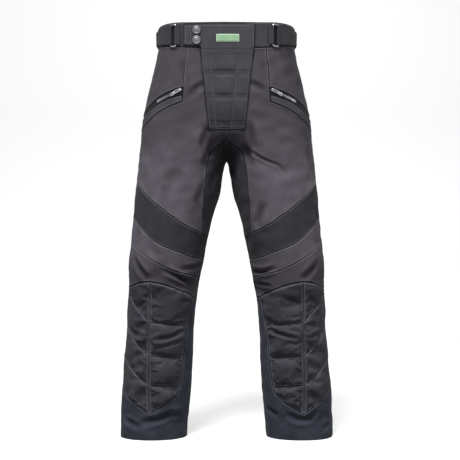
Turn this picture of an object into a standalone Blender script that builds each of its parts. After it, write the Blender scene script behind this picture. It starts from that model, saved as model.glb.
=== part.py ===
"""Paintball trousers, filled out as if worn, with the waist, the fly and both hems open.

Millimetres are used for every size below and turned into metres in the meshes. The origin is the
middle of the waist opening, level with its top edge; +Z is up and the front faces -Y.

A place on the cloth is given by two numbers. "across" runs round half of the trousers: 0 is the
centre front or, on a leg, the inseam; 1 is the side seam; 2 is the centre back or the inseam
again. "drop" is the height below the waist edge. Negative "across" is the other half's front.
"""
import math

import bpy
import numpy as np
from mathutils import Matrix, Vector

MM = 0.001

# Cloth and sewing
CLOTH = 1.6
BAND_CLOTH = 3.0
STRAP_CLOTH = 1.3
SEAM_GAP = 0.3
LAY_GAP = 0.4

# Levels, below the waist edge
HEM_DROP = 1050.0
CROTCH_DROP = 334.0
WAIST_SEAM_FRONT = 66.0
WAIST_SEAM_RISE = 22.0
THIGH_EDGE_DROP = 283.0
VALLEY_TOP_FRONT = 268.0
VALLEY_TOP_BACK = 205.0

# Form of the sections
SQUARE = 2.2
VALLEY_POWER = 2.3
FRONT_CROWN = 5.0
HALF_GIRTH = 300.0
FLAT_DEPTH = 25.0
PLACE_DIGITS = 9
SADDLE_SHARE = 0.12

# Horizontal sections of one half. inner, ridge and side are x of the inseam, of the line that
# is foremost and of the side seam; front, middle and back are y; inseam is the inseam's y, and
# split is the share of "across" that lies inside the ridge.
SECTION_COLUMNS = ("drop", "inner", "ridge", "side", "front", "middle", "back", "inseam", "split")
SECTIONS = (
    (0, 0, 104, 176, -119, -4, 112, 12, 0.40),
    (45, 0, 104, 175, -119, -4, 117, 12, 0.40),
    (66, 0, 104, 178, -119, -4, 121, 12, 0.40),
    (116, 0, 104, 190, -120, -3, 133, 12, 0.385),
    (178, 0, 105, 204, -121, -2, 143, 12, 0.38),
    (240, 0, 107, 217, -121, 0, 146, 12, 0.385),
    (272, 0, 109, 220, -120, 1, 144, 12, 0.40),
    (303, 0, 112, 222, -119, 2, 140, 12, 0.45),
    (334, 0, 115, 225, -118, 2, 133, 12, 0.50),
    (350, 6.5, 118, 228, -117, 2, 129, 11, 0.50),
    (412, 15.5, 126, 234, -114, 0, 117, 6, 0.50),
    (474, 34, 137, 239, -110, -3, 106, 0, 0.50),
    (537, 49, 147, 244, -106, -6, 95, -5, 0.50),
    (599, 61, 156, 251, -102, -9, 84, -9, 0.50),
    (662, 73, 163, 252, -98, -10, 75, -10, 0.50),
    (724, 82, 169, 255, -93, -10, 70, -10, 0.50),
    (786, 86, 173, 257.5, -86, -8, 71, -8, 0.50),
    (849, 88, 177, 264, -78, -4, 76, -4, 0.50),
    (911, 92, 181, 269, -72, 0, 78, 0, 0.50),
    (974, 97.5, 186, 273, -67, 4, 79, 4, 0.50),
    (1050, 104, 190, 275, -64, 6, 79, 6, 0.50),
)

# Largest folds of each half: start and end on the cloth, half width, height (troughs below 0)
FOLD_COLUMNS = ("start_across", "start_drop", "end_across", "end_drop", "width", "height")
FOLDS = {
    "left": (
        (0.25, 270, 0.31, 345, 15, -5.0),
        (0.33, 285, 0.40, 420, 26, 2.5),
        (0.52, 412, 0.30, 432, 20, -3.0),
        (0.02, 640, 0.34, 655, 15, -4.0),
        (0.52, 622, 0.70, 655, 16, -3.0),
        (0.40, 995, 0.06, 1012, 16, -4.0),
        (0.85, 1010, 0.56, 1030, 18, 3.0),
        (1.20, 690, 1.85, 704, 20, -5.0),
        (1.15, 735, 1.80, 742, 20, -4.0),
        (1.30, 352, 1.85, 382, 20, -4.0),
    ),
    "right": (
        (0.27, 268, 0.33, 330, 14, -4.0),
        (0.27, 318, 0.55, 368, 14, -5.0),
        (0.38, 455, 0.33, 520, 14, -4.0),
        (0.21, 300, 0.17, 312, 12, 1.5),
        (0.02, 662, 0.28, 672, 14, -3.0),
        (0.62, 1000, 0.92, 985, 17, -4.0),
        (0.20, 975, 0.34, 1000, 15, -3.5),
        (1.22, 694, 1.80, 686, 20, -5.0),
        (1.20, 740, 1.85, 748, 20, -4.0),
        (1.28, 360, 1.80, 376, 20, -4.0),
    ),
}

# Seams, as places on the cloth (across, drop)
VERTICAL_SEAM = ((0.392, 66), (0.386, 115), (0.39, 162))
ZIP_TOP = ((0.39, 162), (0.495, 170), (0.60, 180), (0.685, 190), (0.80, 206), (1.0, 226))
WELT_TOP = ((0.39, 181), (0.485, 187), (0.59, 197), (0.72, 212), (0.80, 222), (1.0, 236))
WELT_FOOT = ((0.393, 198), (0.48, 207), (0.60, 221), (0.70, 235), (0.81, 250), (1.0, 264))
THIGH_EDGE = (
    (0.03, 285), (0.10, 292), (0.195, 305), (0.262, 319), (0.292, 337), (0.294, 360),
    (0.285, 410), (0.25, 461), (0.21, 500), (0.19, 526),
)
BAND_TOP_INNER = ((0.0, 541), (0.10, 534), (0.19, 526))
BAND_TOP = (
    (0.19, 526), (0.30, 514), (0.42, 498), (0.51, 477), (0.607, 454), (0.685, 437),
    (0.776, 417), (0.877, 397), (1.0, 380),
)
BAND_FOOT = (
    (0.0, 593), (0.12, 590), (0.27, 584), (0.375, 574), (0.475, 563), (0.60, 543),
    (0.68, 527), (0.75, 513), (0.868, 495), (1.0, 478),
)
YOKE_SEAM = (
    (0.0, 640), (0.14, 635), (0.285, 627), (0.41, 619), (0.50, 607), (0.595, 591),
    (0.704, 574), (0.88, 552), (1.0, 540),
)
STRIP_TOP = ((0.0, 692), (0.155, 686))
STRIP_FOOT_DROP = 935.0
PAD_TOP_INNER = ((0.155, 686), (0.197, 680), (0.31, 670), (0.42, 659), (0.51, 650), (0.597, 645))
PAD_TOP_OUTER = ((0.597, 645), (0.71, 649), (0.84, 659), (1.0, 668))
# Quilting lines of the knee pad: from its inner edge to the spine, then out to the side seam
PAD_LINES_INNER = (
    ((0.197, 758), (0.40, 752), (0.574, 747)),
    ((0.237, 840), (0.40, 836), (0.562, 833)),
    ((0.262, 917), (0.40, 912), (0.552, 908)),
    ((0.28, 930), (0.31, 939), (0.38, 955), (0.464, 969), (0.525, 983)),
)
PAD_LINES_OUTER = (
    ((0.574, 747), (0.65, 728), (0.745, 706), (0.845, 689), (1.0, 683)),
    ((0.562, 833), (0.64, 816), (0.727, 795), (0.85, 772), (1.0, 752)),
    ((0.552, 908), (0.65, 888), (0.727, 871), (0.854, 853), (1.0, 838)),
    ((0.525, 983), (0.60, 969), (0.71, 952), (0.83, 937), (1.0, 920)),
)

# How finely the panels are divided
FRONT_COLS = 9
YOKE_COLS = 6
THIGH_COLS = 2
PAD_COLS_INNER = 5
PAD_COLS_OUTER = 4
PAD_CELL_ROWS = 3
HIP_ROWS = 5
FRONT_SIDE_ROWS = 5
VALLEY_ROWS = 4
THIGH_ROWS = 6
BAND_ROWS = 3
YOKE_UPPER_ROWS = 2
YOKE_LOWER_ROWS = 2
HEM_ROWS = 4
BACK_COLS = 8
BACK_VALLEY_ROWS = 4
BACK_VALLEY_LEAD = 8.0

# Raised quilting
PAD_RAISE = 3.0
FLY_RAISE = 2.5

# Fly flap: x of its edges and of its two upright quilting lines at each level
FLY_COLUMNS = ("drop", "left", "left_line", "right_line", "right")
FLY = (
    (66.6, -64, -41, 33, 68),
    (73, -63, -40, 32, 67),
    (128, -58, -37, 26, 60),
    (186, -51, -33, 19, 54),
    (252, -45, -26, 13, 47),
    (264, -44, -25, 12, 46),
)
FLY_BAND_ROWS = (1, 3, 3, 3, 1)
FLY_CELL_COLS = (3, 4, 3)
FLY_FOOT_SAG = 4.0

# Waist end of the fly flap with its closing tab: x, top and foot at each station
TAB = (
    (-106, 7, 57), (-90, 7, 58.5), (-72, 6.5, 59.5), (-64, 6.5, 60), (-62, 6.5, 66),
    (-38, 6, 66), (-12, 6, 66), (14, 6, 66), (42, 6, 66), (71, 6, 66),
)
TAB_CLOTH = 2.6
BAND_LIFT = 1.0

# Snap fasteners and label, on the tab
SNAP_X = -74.0
SNAP_DROPS = {"upper": 20.0, "lower": 45.0}
# radius and height of its outline, from the middle of its dome to its foot
SNAP_PROFILE = (
    (0, 4.6), (4.0, 4.4), (6.6, 3.4), (7.4, 2.7), (8.6, 3.1), (10.2, 2.6), (11.0, 1.3), (11.0, 0),
)
SNAP_SIDES = 24
LABEL_X = (-25.0, 32.0)
LABEL_DROPS = (31.0, 50.0)
LABEL_CLOTH = 1.0

# Side straps and their rings
RING_X = {"left": 130.0, "right": 121.0}
RING_HALF_WIDTH = 6.5
RING_DROPS = (6.5, 59.5)
RING_WIRE = 1.5
RING_CORNER = 3.0
STRAP_TOP = 9.0
STRAP_FOOT = 56.5
STRAP_FOOT_MARGIN = 4.0
STRAP_END_BEHIND_SIDE = 70.0
STRAP_TURN_END_X = 164.0
STRAP_STEP = 8.0
STRAP_GAP = 0.6
WRAP_GAP = 0.3
LOOP_LENGTH = 9.0
WRAP_STEPS = 6
RIM_SAMPLES = 1601
RING_CORNER_STEPS = 3

# Pocket zip: tape, slider and hinged pull tab
TAPE_LIFT = -0.8
TAPE_CLOTH = 1.0
WELT_LIFT = 0.6
SLIDER_ACROSS = 0.485
SLIDER_DROP = 178.5
SLIDER_SIZE = (8.0, 12.0, 3.2)
BAR_RADIUS = 0.8
BAR_HEIGHT = 2.7
BAR_SPAN = 4.2
BAR_SIDES = 12
POST_WIDTH = 1.3
POST_DEPTH = 2.4
POST_SUNK = 0.6
POST_ABOVE_BAR = 0.4
SLIDER_BEVEL = 0.8
EYE_OUTER = 2.1
EYE_BORE = 1.25
EYE_LENGTH = 3.3
EYE_SIDES = 20
EYE_TO_PLATE = 0.5
NECK_START = 0.6
NECK_OVERLAP = 1.5
NECK_INSET = 0.6
BORE_OVERSHOOT = 2.0
PULL_LENGTH = 27.0
PULL_WIDTH = 7.0
PULL_THICK = 1.6
PULL_BEVEL = 0.5
PULL_TOWARDS = (0.398, 166.0)
PULL_TIP_HEIGHT = 2.2

COLOURS = {
    "main": (0.098, 0.091, 0.107),
    "band": (0.047, 0.043, 0.049),
    "waist": (0.066, 0.065, 0.077),
    "pad": (0.048, 0.047, 0.056),
    "shin": (0.047, 0.052, 0.065),
    "label": (0.21, 0.51, 0.21),
    "steel": (0.35, 0.35, 0.38),
    "snap": (0.23, 0.23, 0.26),
    "tape": (0.018, 0.018, 0.02),
}
SIDES = {"left": -1.0, "right": 1.0}


def through(knots, values, at):
    """Smooth curve through rows that neither overshoots nor dips between them."""
    steps = np.diff(knots)
    rises = np.diff(values) / steps
    before, after = rises[:-1], rises[1:]
    same = before * after > 0
    slopes = np.zeros(len(knots))
    slopes[1:-1][same] = 2 * before[same] * after[same] / (before[same] + after[same])
    slopes[0], slopes[-1] = rises[0], rises[-1]
    i = np.clip(np.searchsorted(knots, at) - 1, 0, len(knots) - 2)
    s = np.clip((at - knots[i]) / steps[i], 0, 1)
    start = (1 + 2 * s) * (1 - s) ** 2 * values[i] + s * (1 - s) ** 2 * steps[i] * slopes[i]
    end = s**2 * (3 - 2 * s) * values[i + 1] + s**2 * (s - 1) * steps[i] * slopes[i + 1]
    return start + end


def column(columns, rows, name, at):
    """One named column of a table, read at any level between its rows."""
    table = np.array(rows, float)
    return through(table[:, 0], table[:, columns.index(name)], np.asarray(at, float))


def section(drop):
    """Sizes of the horizontal section at each drop."""
    return {name: column(SECTION_COLUMNS, SECTIONS, name, drop) for name in SECTION_COLUMNS}


def fold_height(across, drop, side):
    """Height of the folds: each is a soft ridge or trough along a line that fades at its ends."""
    total = np.zeros(np.shape(across))
    for row in FOLDS[side]:
        fold = dict(zip(FOLD_COLUMNS, row))
        run_x = (fold["end_across"] - fold["start_across"]) * HALF_GIRTH
        run_y = fold["end_drop"] - fold["start_drop"]
        from_x = (across - fold["start_across"]) * HALF_GIRTH
        from_y = drop - fold["start_drop"]
        length = math.hypot(run_x, run_y)
        along = (from_x * run_x + from_y * run_y) / length
        aside = (from_x * run_y - from_y * run_x) / length
        beyond = np.maximum(0, np.maximum(-along, along - length))
        total += fold["height"] * np.exp(-(aside**2 + beyond**2) / fold["width"] ** 2)
    return total


def surface(across, drop, lift=0.0, side=None):
    """Points and outward directions of the cloth's outer face, raised by lift.

    A section is two rounded-off quarter curves, x = c + a sin^e(q) and y = m + b cos^e(q),
    that meet on the ridge line. Between the legs the inner curve sinks into the crotch seam:
    along an arc at the seam itself, and softly, as 1 - 3t^2 + 2t^3 of the drop, beside it.
    """
    across, drop = np.broadcast_arrays(np.asarray(across, float), np.asarray(drop, float))
    size = section(drop)
    across = np.round(across, PLACE_DIGITS)
    flip = np.where((across < 0) | (across > 2), -1.0, 1.0)
    across = np.where(across < 0, -across, np.where(across > 2, 4 - across, across))
    rear = across > 1
    share = np.where(rear, 2 - across, across)
    far = np.where(rear, size["back"], size["front"])
    facing = np.where(rear, 1.0, -1.0)
    valley_top = np.where(rear, VALLEY_TOP_BACK, VALLEY_TOP_FRONT)
    reach = np.clip((drop - valley_top) / (CROTCH_DROP - valley_top), 0, 1)
    sunk = (1 - reach**VALLEY_POWER) ** (1 / VALLEY_POWER)
    beside = np.clip(share / SADDLE_SHARE, 0, 1)
    sunk = sunk + (1 - reach * reach * (3 - 2 * reach) - sunk) * beside * beside * (3 - 2 * beside)
    seam = size["inseam"] + (far - size["inseam"]) * sunk
    power = 2 / SQUARE
    inner_turn = np.clip(share / size["split"], 0, 1) * math.pi / 2
    outer_turn = np.clip((share - size["split"]) / (1 - size["split"]), 0, 1) * math.pi / 2
    inside = share < size["split"]
    inner_a, inner_b = size["ridge"] - size["inner"], np.abs(far - seam)
    outer_a, outer_b = size["side"] - size["ridge"], np.abs(far - size["middle"])
    cos_in, sin_in = np.abs(np.cos(inner_turn)), np.abs(np.sin(inner_turn))
    cos_out, sin_out = np.abs(np.cos(outer_turn)), np.abs(np.sin(outer_turn))
    inner_x = size["ridge"] - inner_a * cos_in**power
    outer_x = size["ridge"] + outer_a * sin_out**power
    inner_y = seam + (far - seam) * sin_in**power
    outer_y = size["middle"] + (far - size["middle"]) * cos_out**power
    x = np.where(inside, inner_x, outer_x)
    y = np.where(inside, inner_y, outer_y)
    rest = 2 - power
    flat = np.clip(1 - inner_b / FLAT_DEPTH, 0, 1)
    normal_x = np.where(inside, -inner_b * cos_in**rest, outer_b * sin_out**rest)
    normal_y = facing * np.where(inside, inner_a * (sin_in**rest + flat), outer_a * cos_out**rest)
    length = np.hypot(normal_x, normal_y)
    near_middle = np.where(inside & ~rear, (1 - (x / size["ridge"]) ** 2) ** 2, 0)
    fade = np.clip(1 - drop / VALLEY_TOP_FRONT, 0, 1)
    y = y - FRONT_CROWN * near_middle * fade * fade * (3 - 2 * fade)
    points = np.stack([flip * x, y, -drop], -1)
    normals = np.stack([flip * normal_x / length, normal_y / length, 0 * x], -1)
    height = np.asarray(lift, float) + (0 if side is None else fold_height(across, drop, side))
    return points + normals * np.broadcast_to(height, x.shape)[..., None], normals


def across_at(x, drop):
    """The place across at a given x on the front."""
    x = np.asarray(x, float)
    size = section(drop)
    ridge, split, half = size["ridge"], size["split"], SQUARE / 2
    inner = np.arccos(np.clip((ridge - np.abs(x)) / (ridge - size["inner"]), 0, 1) ** half)
    outer = np.arcsin(np.clip((np.abs(x) - ridge) / (size["side"] - ridge), 0, 1) ** half)
    inner_share = inner / (math.pi / 2) * split
    outer_share = split + outer / (math.pi / 2) * (1 - split)
    return np.sign(x) * np.where(np.abs(x) < ridge, inner_share, outer_share)


def waist_seam_drop(across):
    """The waistband's lower seam, which rises towards the sides."""
    share = np.where(np.asarray(across) > 1, 2 - np.asarray(across), across)
    return WAIST_SEAM_FRONT - WAIST_SEAM_RISE * share**2


def curve(places, count):
    """Even places along the smooth curve through the given ones."""
    places = np.array(places, float)
    steps = np.hypot(np.diff(places[:, 0]) * HALF_GIRTH, np.diff(places[:, 1]))
    length = np.concatenate([[0], np.cumsum(steps)])
    at = np.linspace(0, length[-1], count + 1)
    return np.stack([through(length, places[:, 0], at), through(length, places[:, 1], at)], -1)


def line(start, end, count):
    return np.linspace(start, end, count + 1)


def join(*pieces):
    """Places of several curves that follow one another."""
    return np.concatenate([pieces[0]] + [piece[1:] for piece in pieces[1:]])


def patch(top, bottom, left, right):
    """Places between four edges: the ruled patches of both pairs less that of the corners."""
    u = np.linspace(0, 1, len(top))[None, :, None]
    v = np.linspace(0, 1, len(left))[:, None, None]
    across = (1 - u) * left[:, None] + u * right[:, None]
    along = (1 - v) * top[None] + v * bottom[None]
    upper = (1 - u) * top[0] + u * top[-1]
    lower = (1 - u) * bottom[0] + u * bottom[-1]
    return across + along - (1 - v) * upper - v * lower


def between(lines, rows):
    """Places on and evenly between successive lines, rows[i] steps after line i."""
    grid = [lines[0][None]]
    for upper, lower, count in zip(lines, lines[1:], rows):
        steps = np.arange(1, count + 1)[:, None, None] / count
        grid.append(upper[None] * (1 - steps) + lower[None] * steps)
    return np.concatenate(grid)


def cell_profile(counts, flat=()):
    """0 on each line and 1 in each cell, as the root of a sine, 0 throughout flat cells."""
    profile = [0.0]
    for index, count in enumerate(counts):
        wave = np.sin(np.pi * np.arange(1, count + 1) / count)
        profile += list(np.sqrt(np.abs(wave)).round(6) * (index not in flat))
    return np.array(profile)


def material(name):
    existing = bpy.data.materials.get(name)
    if existing:
        return existing
    made = bpy.data.materials.new(name)
    made.use_nodes = True
    shader = made.node_tree.nodes["Principled BSDF"]
    metal = name in ("steel", "snap")
    shader.inputs["Base Color"].default_value = (*COLOURS[name], 1)
    shader.inputs["Roughness"].default_value = 0.35 if metal else 0.85
    shader.inputs["Metallic"].default_value = 1.0 if metal else 0.0
    return made


def add_object(name, vertices, faces, colour, smooth=True):
    mesh = bpy.data.meshes.new(name)
    mesh.from_pydata([tuple(v) for v in vertices], [], [tuple(int(i) for i in f) for f in faces])
    if smooth:
        mesh.shade_smooth()
        mesh.set_sharp_from_angle(angle=math.radians(40))
    mesh.materials.append(material(colour))
    made = bpy.data.objects.new(name, mesh)
    bpy.context.collection.objects.link(made)
    return made


def edge_insets(points, normals, borders):
    """How far each border point moves into its piece, so that two pieces leave the seam gap."""
    ahead = {int(a): int(b) for a, b in borders}
    behind = {int(b): int(a) for a, b in borders}
    insets = np.zeros_like(points)
    for here, following in ahead.items():
        inward = []
        for a, b in ((behind[here], here), (here, following)):
            sideways = np.cross(normals[here], points[b] - points[a])
            inward.append(sideways / np.linalg.norm(sideways))
        spread = max(0.35, 1 + float(inward[0] @ inward[1]))
        insets[here] = (inward[0] + inward[1]) * SEAM_GAP / 2 / spread
    return insets


def panel(name, grids, side, colour, lift=0.0, cloth=CLOTH, raised=None, folded=True):
    """A piece of cloth over grids of places: its outer face, its inner face and its cut edges.

    Grids that share places are joined there. side None keeps both halves as they are.
    """
    places, raises, faces, known = [], [], [], {}
    for index, grid in enumerate(grids):
        height = np.zeros(grid.shape[:2]) if raised is None else raised[index]
        ids = np.empty(grid.shape[:2], int)
        for r, c in np.ndindex(ids.shape):
            key = (round(float(grid[r, c, 0]), 5), round(float(grid[r, c, 1]), 3))
            if key not in known:
                known[key] = len(places)
                places.append(grid[r, c])
                raises.append(height[r, c])
            ids[r, c] = known[key]
        quads = np.stack([ids[:-1, :-1], ids[1:, :-1], ids[1:, 1:], ids[:-1, 1:]], -1)
        faces.append(quads.reshape(-1, 4))
    faces = np.concatenate(faces)
    places, raises = np.array(places), np.array(raises)
    edges = np.concatenate([faces[:, [k, (k + 1) % 4]] for k in range(4)])
    used = {tuple(edge) for edge in edges.tolist()}
    borders = [edge for edge in edges.tolist() if (edge[1], edge[0]) not in used]
    fold_side = side if folded else None
    base, normals = surface(places[:, 0], places[:, 1], lift, fold_side)
    base = base + edge_insets(base, normals, borders)
    outer = base + normals * raises[:, None]
    inner = base - normals * cloth
    count = len(places)
    shell = faces.tolist() + (faces[:, ::-1] + count).tolist()
    shell += [(b, a, a + count, b + count) for a, b in borders]
    vertices = np.concatenate([outer, inner]) * MM
    if side == "left":
        vertices[:, 0] *= -1
        shell = [face[::-1] for face in shell]
    return add_object(name, vertices, shell, colour)


def inseam(start, end, count):
    return line((0.0, start), (0.0, end), count)


def side_seam(start, end, count):
    return line((1.0, start), (1.0, end), count)


def valley(start, start_drop, count):
    """Places down the crotch seam, evenly spaced round its curve, to the crotch."""
    top = VALLEY_TOP_BACK if start > 1 else VALLEY_TOP_FRONT
    first = math.asin(((start_drop - top) / (CROTCH_DROP - top)) ** (VALLEY_POWER / 2))
    turns = np.linspace(first, math.pi / 2, count + 1)
    drops = top + (CROTCH_DROP - top) * np.sin(turns) ** (2 / VALLEY_POWER)
    drops[0] = start_drop
    drops[-1] = CROTCH_DROP
    return np.stack([np.full(count + 1, start), drops], -1)


def pad_grid():
    """Places of the knee pad, whose rows follow its quilting lines."""
    lines = [join(curve(PAD_TOP_INNER, PAD_COLS_INNER), curve(PAD_TOP_OUTER, PAD_COLS_OUTER))]
    for inner, outer in zip(PAD_LINES_INNER, PAD_LINES_OUTER):
        lines.append(join(curve(inner, PAD_COLS_INNER), curve(outer, PAD_COLS_OUTER)))
    return between(lines, [PAD_CELL_ROWS] * len(PAD_LINES_INNER))


def leg_grids():
    """Grids of places of every panel of one half, edge by edge, so that neighbours share theirs."""
    pad = pad_grid()
    thigh_foot = curve(BAND_TOP_INNER, THIGH_COLS)
    band_top = curve(BAND_TOP, FRONT_COLS)
    full_cols = THIGH_COLS + FRONT_COLS
    band_foot = curve(BAND_FOOT, full_cols)
    yoke_seam = curve(YOKE_SEAM, full_cols)
    strip_top = curve(STRIP_TOP, THIGH_COLS)
    strip_foot = line((0.0, STRIP_FOOT_DROP), pad[-1, 0], THIGH_COLS)

    vertical = curve(VERTICAL_SEAM, HIP_ROWS)
    zip_top = curve(ZIP_TOP, YOKE_COLS)
    welt_top = curve(WELT_TOP, YOKE_COLS)
    welt_foot = curve(WELT_FOOT, YOKE_COLS)
    yoke_across = np.linspace(VERTICAL_SEAM[0][0], 1, YOKE_COLS + 1)
    yoke_waist = np.stack([yoke_across, waist_seam_drop(yoke_across)], -1)
    front_across = np.linspace(0, VERTICAL_SEAM[0][0], FRONT_COLS + 1)
    front_waist = np.stack([front_across, waist_seam_drop(front_across)], -1)
    vertical[0] = front_waist[-1]

    edge_top = line((0.0, THIGH_EDGE_DROP), THIGH_EDGE[0], THIGH_COLS)
    edge = curve(THIGH_EDGE, VALLEY_ROWS + THIGH_ROWS)
    side_rows = HIP_ROWS + 2 + YOKE_COLS + FRONT_SIDE_ROWS
    centre_rows = side_rows - THIGH_COLS - len(edge) + 1
    centre = line((0.0, WAIST_SEAM_FRONT), (0.0, THIGH_EDGE_DROP), centre_rows)
    pocket_end = np.array([ZIP_TOP[0], WELT_TOP[0], WELT_FOOT[0]], float)
    front_side = side_seam(WELT_FOOT[-1][1], BAND_TOP[-1][1], FRONT_SIDE_ROWS)

    valley_edge = valley(0.0, THIGH_EDGE_DROP, VALLEY_ROWS)
    thigh_inseam = inseam(CROTCH_DROP, BAND_TOP_INNER[0][1], THIGH_ROWS)
    hem_across = join(strip_foot, pad[-1])[:, 0]
    hem = np.stack([hem_across, np.full(len(hem_across), HEM_DROP)], -1)

    def rows(start, end, count):
        return inseam(start[0, 1], end[0, 1], count), side_seam(start[-1, 1], end[-1, 1], count)

    hip_side = side_seam(yoke_waist[-1, 1], zip_top[-1, 1], HIP_ROWS)
    band_sides = rows(join(thigh_foot, band_top), band_foot, BAND_ROWS)
    upper_sides = rows(band_foot, yoke_seam, YOKE_UPPER_ROWS)
    pad_top = join(strip_top, pad[0])
    lower_sides = rows(yoke_seam, pad_top, YOKE_LOWER_ROWS)
    strip_inseam = inseam(STRIP_TOP[0][1], STRIP_FOOT_DROP, len(pad) - 1)
    hem_sides = rows(join(strip_foot, pad[-1]), hem, HEM_ROWS)

    grids = {
        "hip_yoke": patch(yoke_waist, zip_top, vertical, hip_side),
        "pocket_zip": between([zip_top, welt_top], [1]),
        "pocket_welt": between([welt_top, welt_foot], [1]),
        "front_panel": patch(
            front_waist,
            band_top,
            join(centre, edge_top, edge),
            join(vertical, pocket_end, welt_foot, front_side),
        ),
        "inner_thigh": patch(edge_top, thigh_foot, join(valley_edge, thigh_inseam), edge),
        "thigh_band": patch(join(thigh_foot, band_top), band_foot, *band_sides),
        "knee_yoke_upper": patch(band_foot, yoke_seam, *upper_sides),
        "knee_yoke_lower": patch(yoke_seam, pad_top, *lower_sides),
        "knee_pad": pad,
        "strip": patch(strip_top, strip_foot, strip_inseam, pad[:, 0]),
        "hem": patch(join(strip_foot, pad[-1]), hem, *hem_sides),
    }
    side = np.unique(np.concatenate([
        hip_side, welt_top[-1:], front_side, band_sides[1], upper_sides[1], lower_sides[1],
        pad[:, -1], hem_sides[1],
    ]).round(5), axis=0)
    inner_leg = join(
        thigh_inseam, band_sides[0], upper_sides[0], lower_sides[0], strip_inseam, hem_sides[0]
    )
    grids["back_panel"] = back_grid(side, inner_leg)
    grids["waist_places"] = join(front_waist, yoke_waist)
    return grids


def back_grid(side, inner_leg):
    """The back panel runs from the side seam round to the centre back seam and the inseam."""
    inner_leg = np.stack([np.full(len(inner_leg), 2.0), inner_leg[:, 1]], -1)
    crotch = valley(2.0, VALLEY_TOP_BACK + BACK_VALLEY_LEAD, BACK_VALLEY_ROWS)
    straight_rows = len(side) - len(inner_leg) - BACK_VALLEY_ROWS
    waist_across = np.linspace(1, 2, BACK_COLS + 1)
    waist = np.stack([waist_across, waist_seam_drop(waist_across)], -1)
    straight = line(waist[-1], crotch[0], straight_rows)
    hem = np.stack([waist_across, np.full(BACK_COLS + 1, HEM_DROP)], -1)
    return patch(waist, hem, side, join(straight, crotch, inner_leg))


def build_leg(side):
    """All panels of one half."""
    grids = leg_grids()
    cells = cell_profile([PAD_CELL_ROWS] * len(PAD_LINES_INNER))
    spans = cell_profile([PAD_COLS_INNER, PAD_COLS_OUTER])
    colours = {
        "hip_yoke": "main", "front_panel": "main", "inner_thigh": "band", "thigh_band": "band",
        "knee_yoke_upper": "main", "knee_yoke_lower": "main", "back_panel": "main",
    }
    for name, colour in colours.items():
        panel(f"{name}_{side}", [grids[name]], side, colour)
    panel(f"pocket_zip_{side}", [grids["pocket_zip"]], side, "tape", TAPE_LIFT, TAPE_CLOTH)
    panel(f"pocket_welt_{side}", [grids["pocket_welt"]], side, "waist", 0.6, CLOTH)
    heights = PAD_RAISE * np.outer(cells, spans)
    panel(f"knee_pad_{side}", [grids["knee_pad"]], side, "pad", raised=[heights])
    panel(f"shin_front_{side}", [grids["strip"], grids["hem"]], side, "shin")
    top = np.stack([grids["waist_places"][:, 0], 0 * grids["waist_places"][:, 0]], -1)
    waistband = between([top, grids["waist_places"]], [2])
    panel(f"waistband_front_{side}", [waistband], side, "waist", BAND_LIFT, BAND_CLOTH, folded=False)
    return grids


def build_waistband_back():
    """One piece from side seam to side seam."""
    across = np.linspace(1, 3, 2 * BACK_COLS + 1)
    foot = np.stack([across, waist_seam_drop(np.where(across > 2, 4 - across, across))], -1)
    top = np.stack([across, 0 * across], -1)
    panel("waistband_back", [between([top, foot], [2])], None, "waist", BAND_LIFT, BAND_CLOTH)


def fly_line(drop, sag):
    """Places along one level of the fly flap, from its left edge to its right edge."""
    marks = [float(column(FLY_COLUMNS, FLY, name, drop)) for name in FLY_COLUMNS[1:]]
    x = np.concatenate([
        np.linspace(a, b, n, endpoint=False) for a, b, n in zip(marks, marks[1:], FLY_CELL_COLS)
    ] + [[marks[-1]]])
    middle = 1 - ((x - marks[0]) / (marks[-1] - marks[0]) * 2 - 1) ** 2
    drops = drop + sag * middle
    return np.stack([across_at(x, drops), drops], -1)


def build_fly():
    """The quilted flap, its waist end with the tab, two snaps and the label."""
    levels = [row[0] for row in FLY]
    sags = [0.0] * (len(levels) - 2) + [FLY_FOOT_SAG / 2, FLY_FOOT_SAG]
    lines = [fly_line(drop, sag) for drop, sag in zip(levels, sags)]
    last = len(FLY_BAND_ROWS) - 1
    rows = cell_profile(FLY_BAND_ROWS, flat=(0, last))
    heights = FLY_RAISE * np.outer(rows, cell_profile(FLY_CELL_COLS))
    panel("fly_pad", [between(lines, FLY_BAND_ROWS)], None, "waist", LAY_GAP + CLOTH, CLOTH, [heights])

    table = np.array(TAB, float)
    edges = [np.stack([across_at(table[:, 0], table[:, k]), table[:, k]], -1) for k in (1, 2)]
    tab_lift = BAND_LIFT + LAY_GAP + TAB_CLOTH
    panel("fly_tab", [between(edges, [2])], None, "waist", tab_lift, TAB_CLOTH)

    x = np.linspace(*LABEL_X, 5)
    edges = [np.stack([across_at(x, drop), 0 * x + drop], -1) for drop in LABEL_DROPS]
    label_lift = tab_lift + LAY_GAP + LABEL_CLOTH
    panel("waist_label", [between(edges, [1])], None, "label", label_lift, LABEL_CLOTH)

    for name, drop in SNAP_DROPS.items():
        frame = frame_on(float(across_at(SNAP_X, drop)), drop, tab_lift + LAY_GAP, None)
        build_turned(f"snap_{name}", SNAP_PROFILE, SNAP_SIDES, frame, "snap")


def frame_on(across, drop, lift, towards):
    """Axes of a thing that lies on the cloth: x along it, z outwards; towards is a place."""
    step = 0.5
    here = surface(across, drop, lift)[0]
    round_it = surface(across + step / HALF_GIRTH, drop)[0] - surface(across - step / HALF_GIRTH, drop)[0]
    down = surface(across, drop + step)[0] - surface(across, drop - step)[0]
    outward = Vector(np.cross(down, round_it)).normalized()
    along = Vector(round_it) if towards is None else Vector(surface(*towards, lift)[0] - here)
    along = (along - outward * along.dot(outward)).normalized()
    frame = Matrix((along, outward.cross(along), outward)).transposed().to_4x4()
    frame.translation = Vector(here)
    return frame


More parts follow.
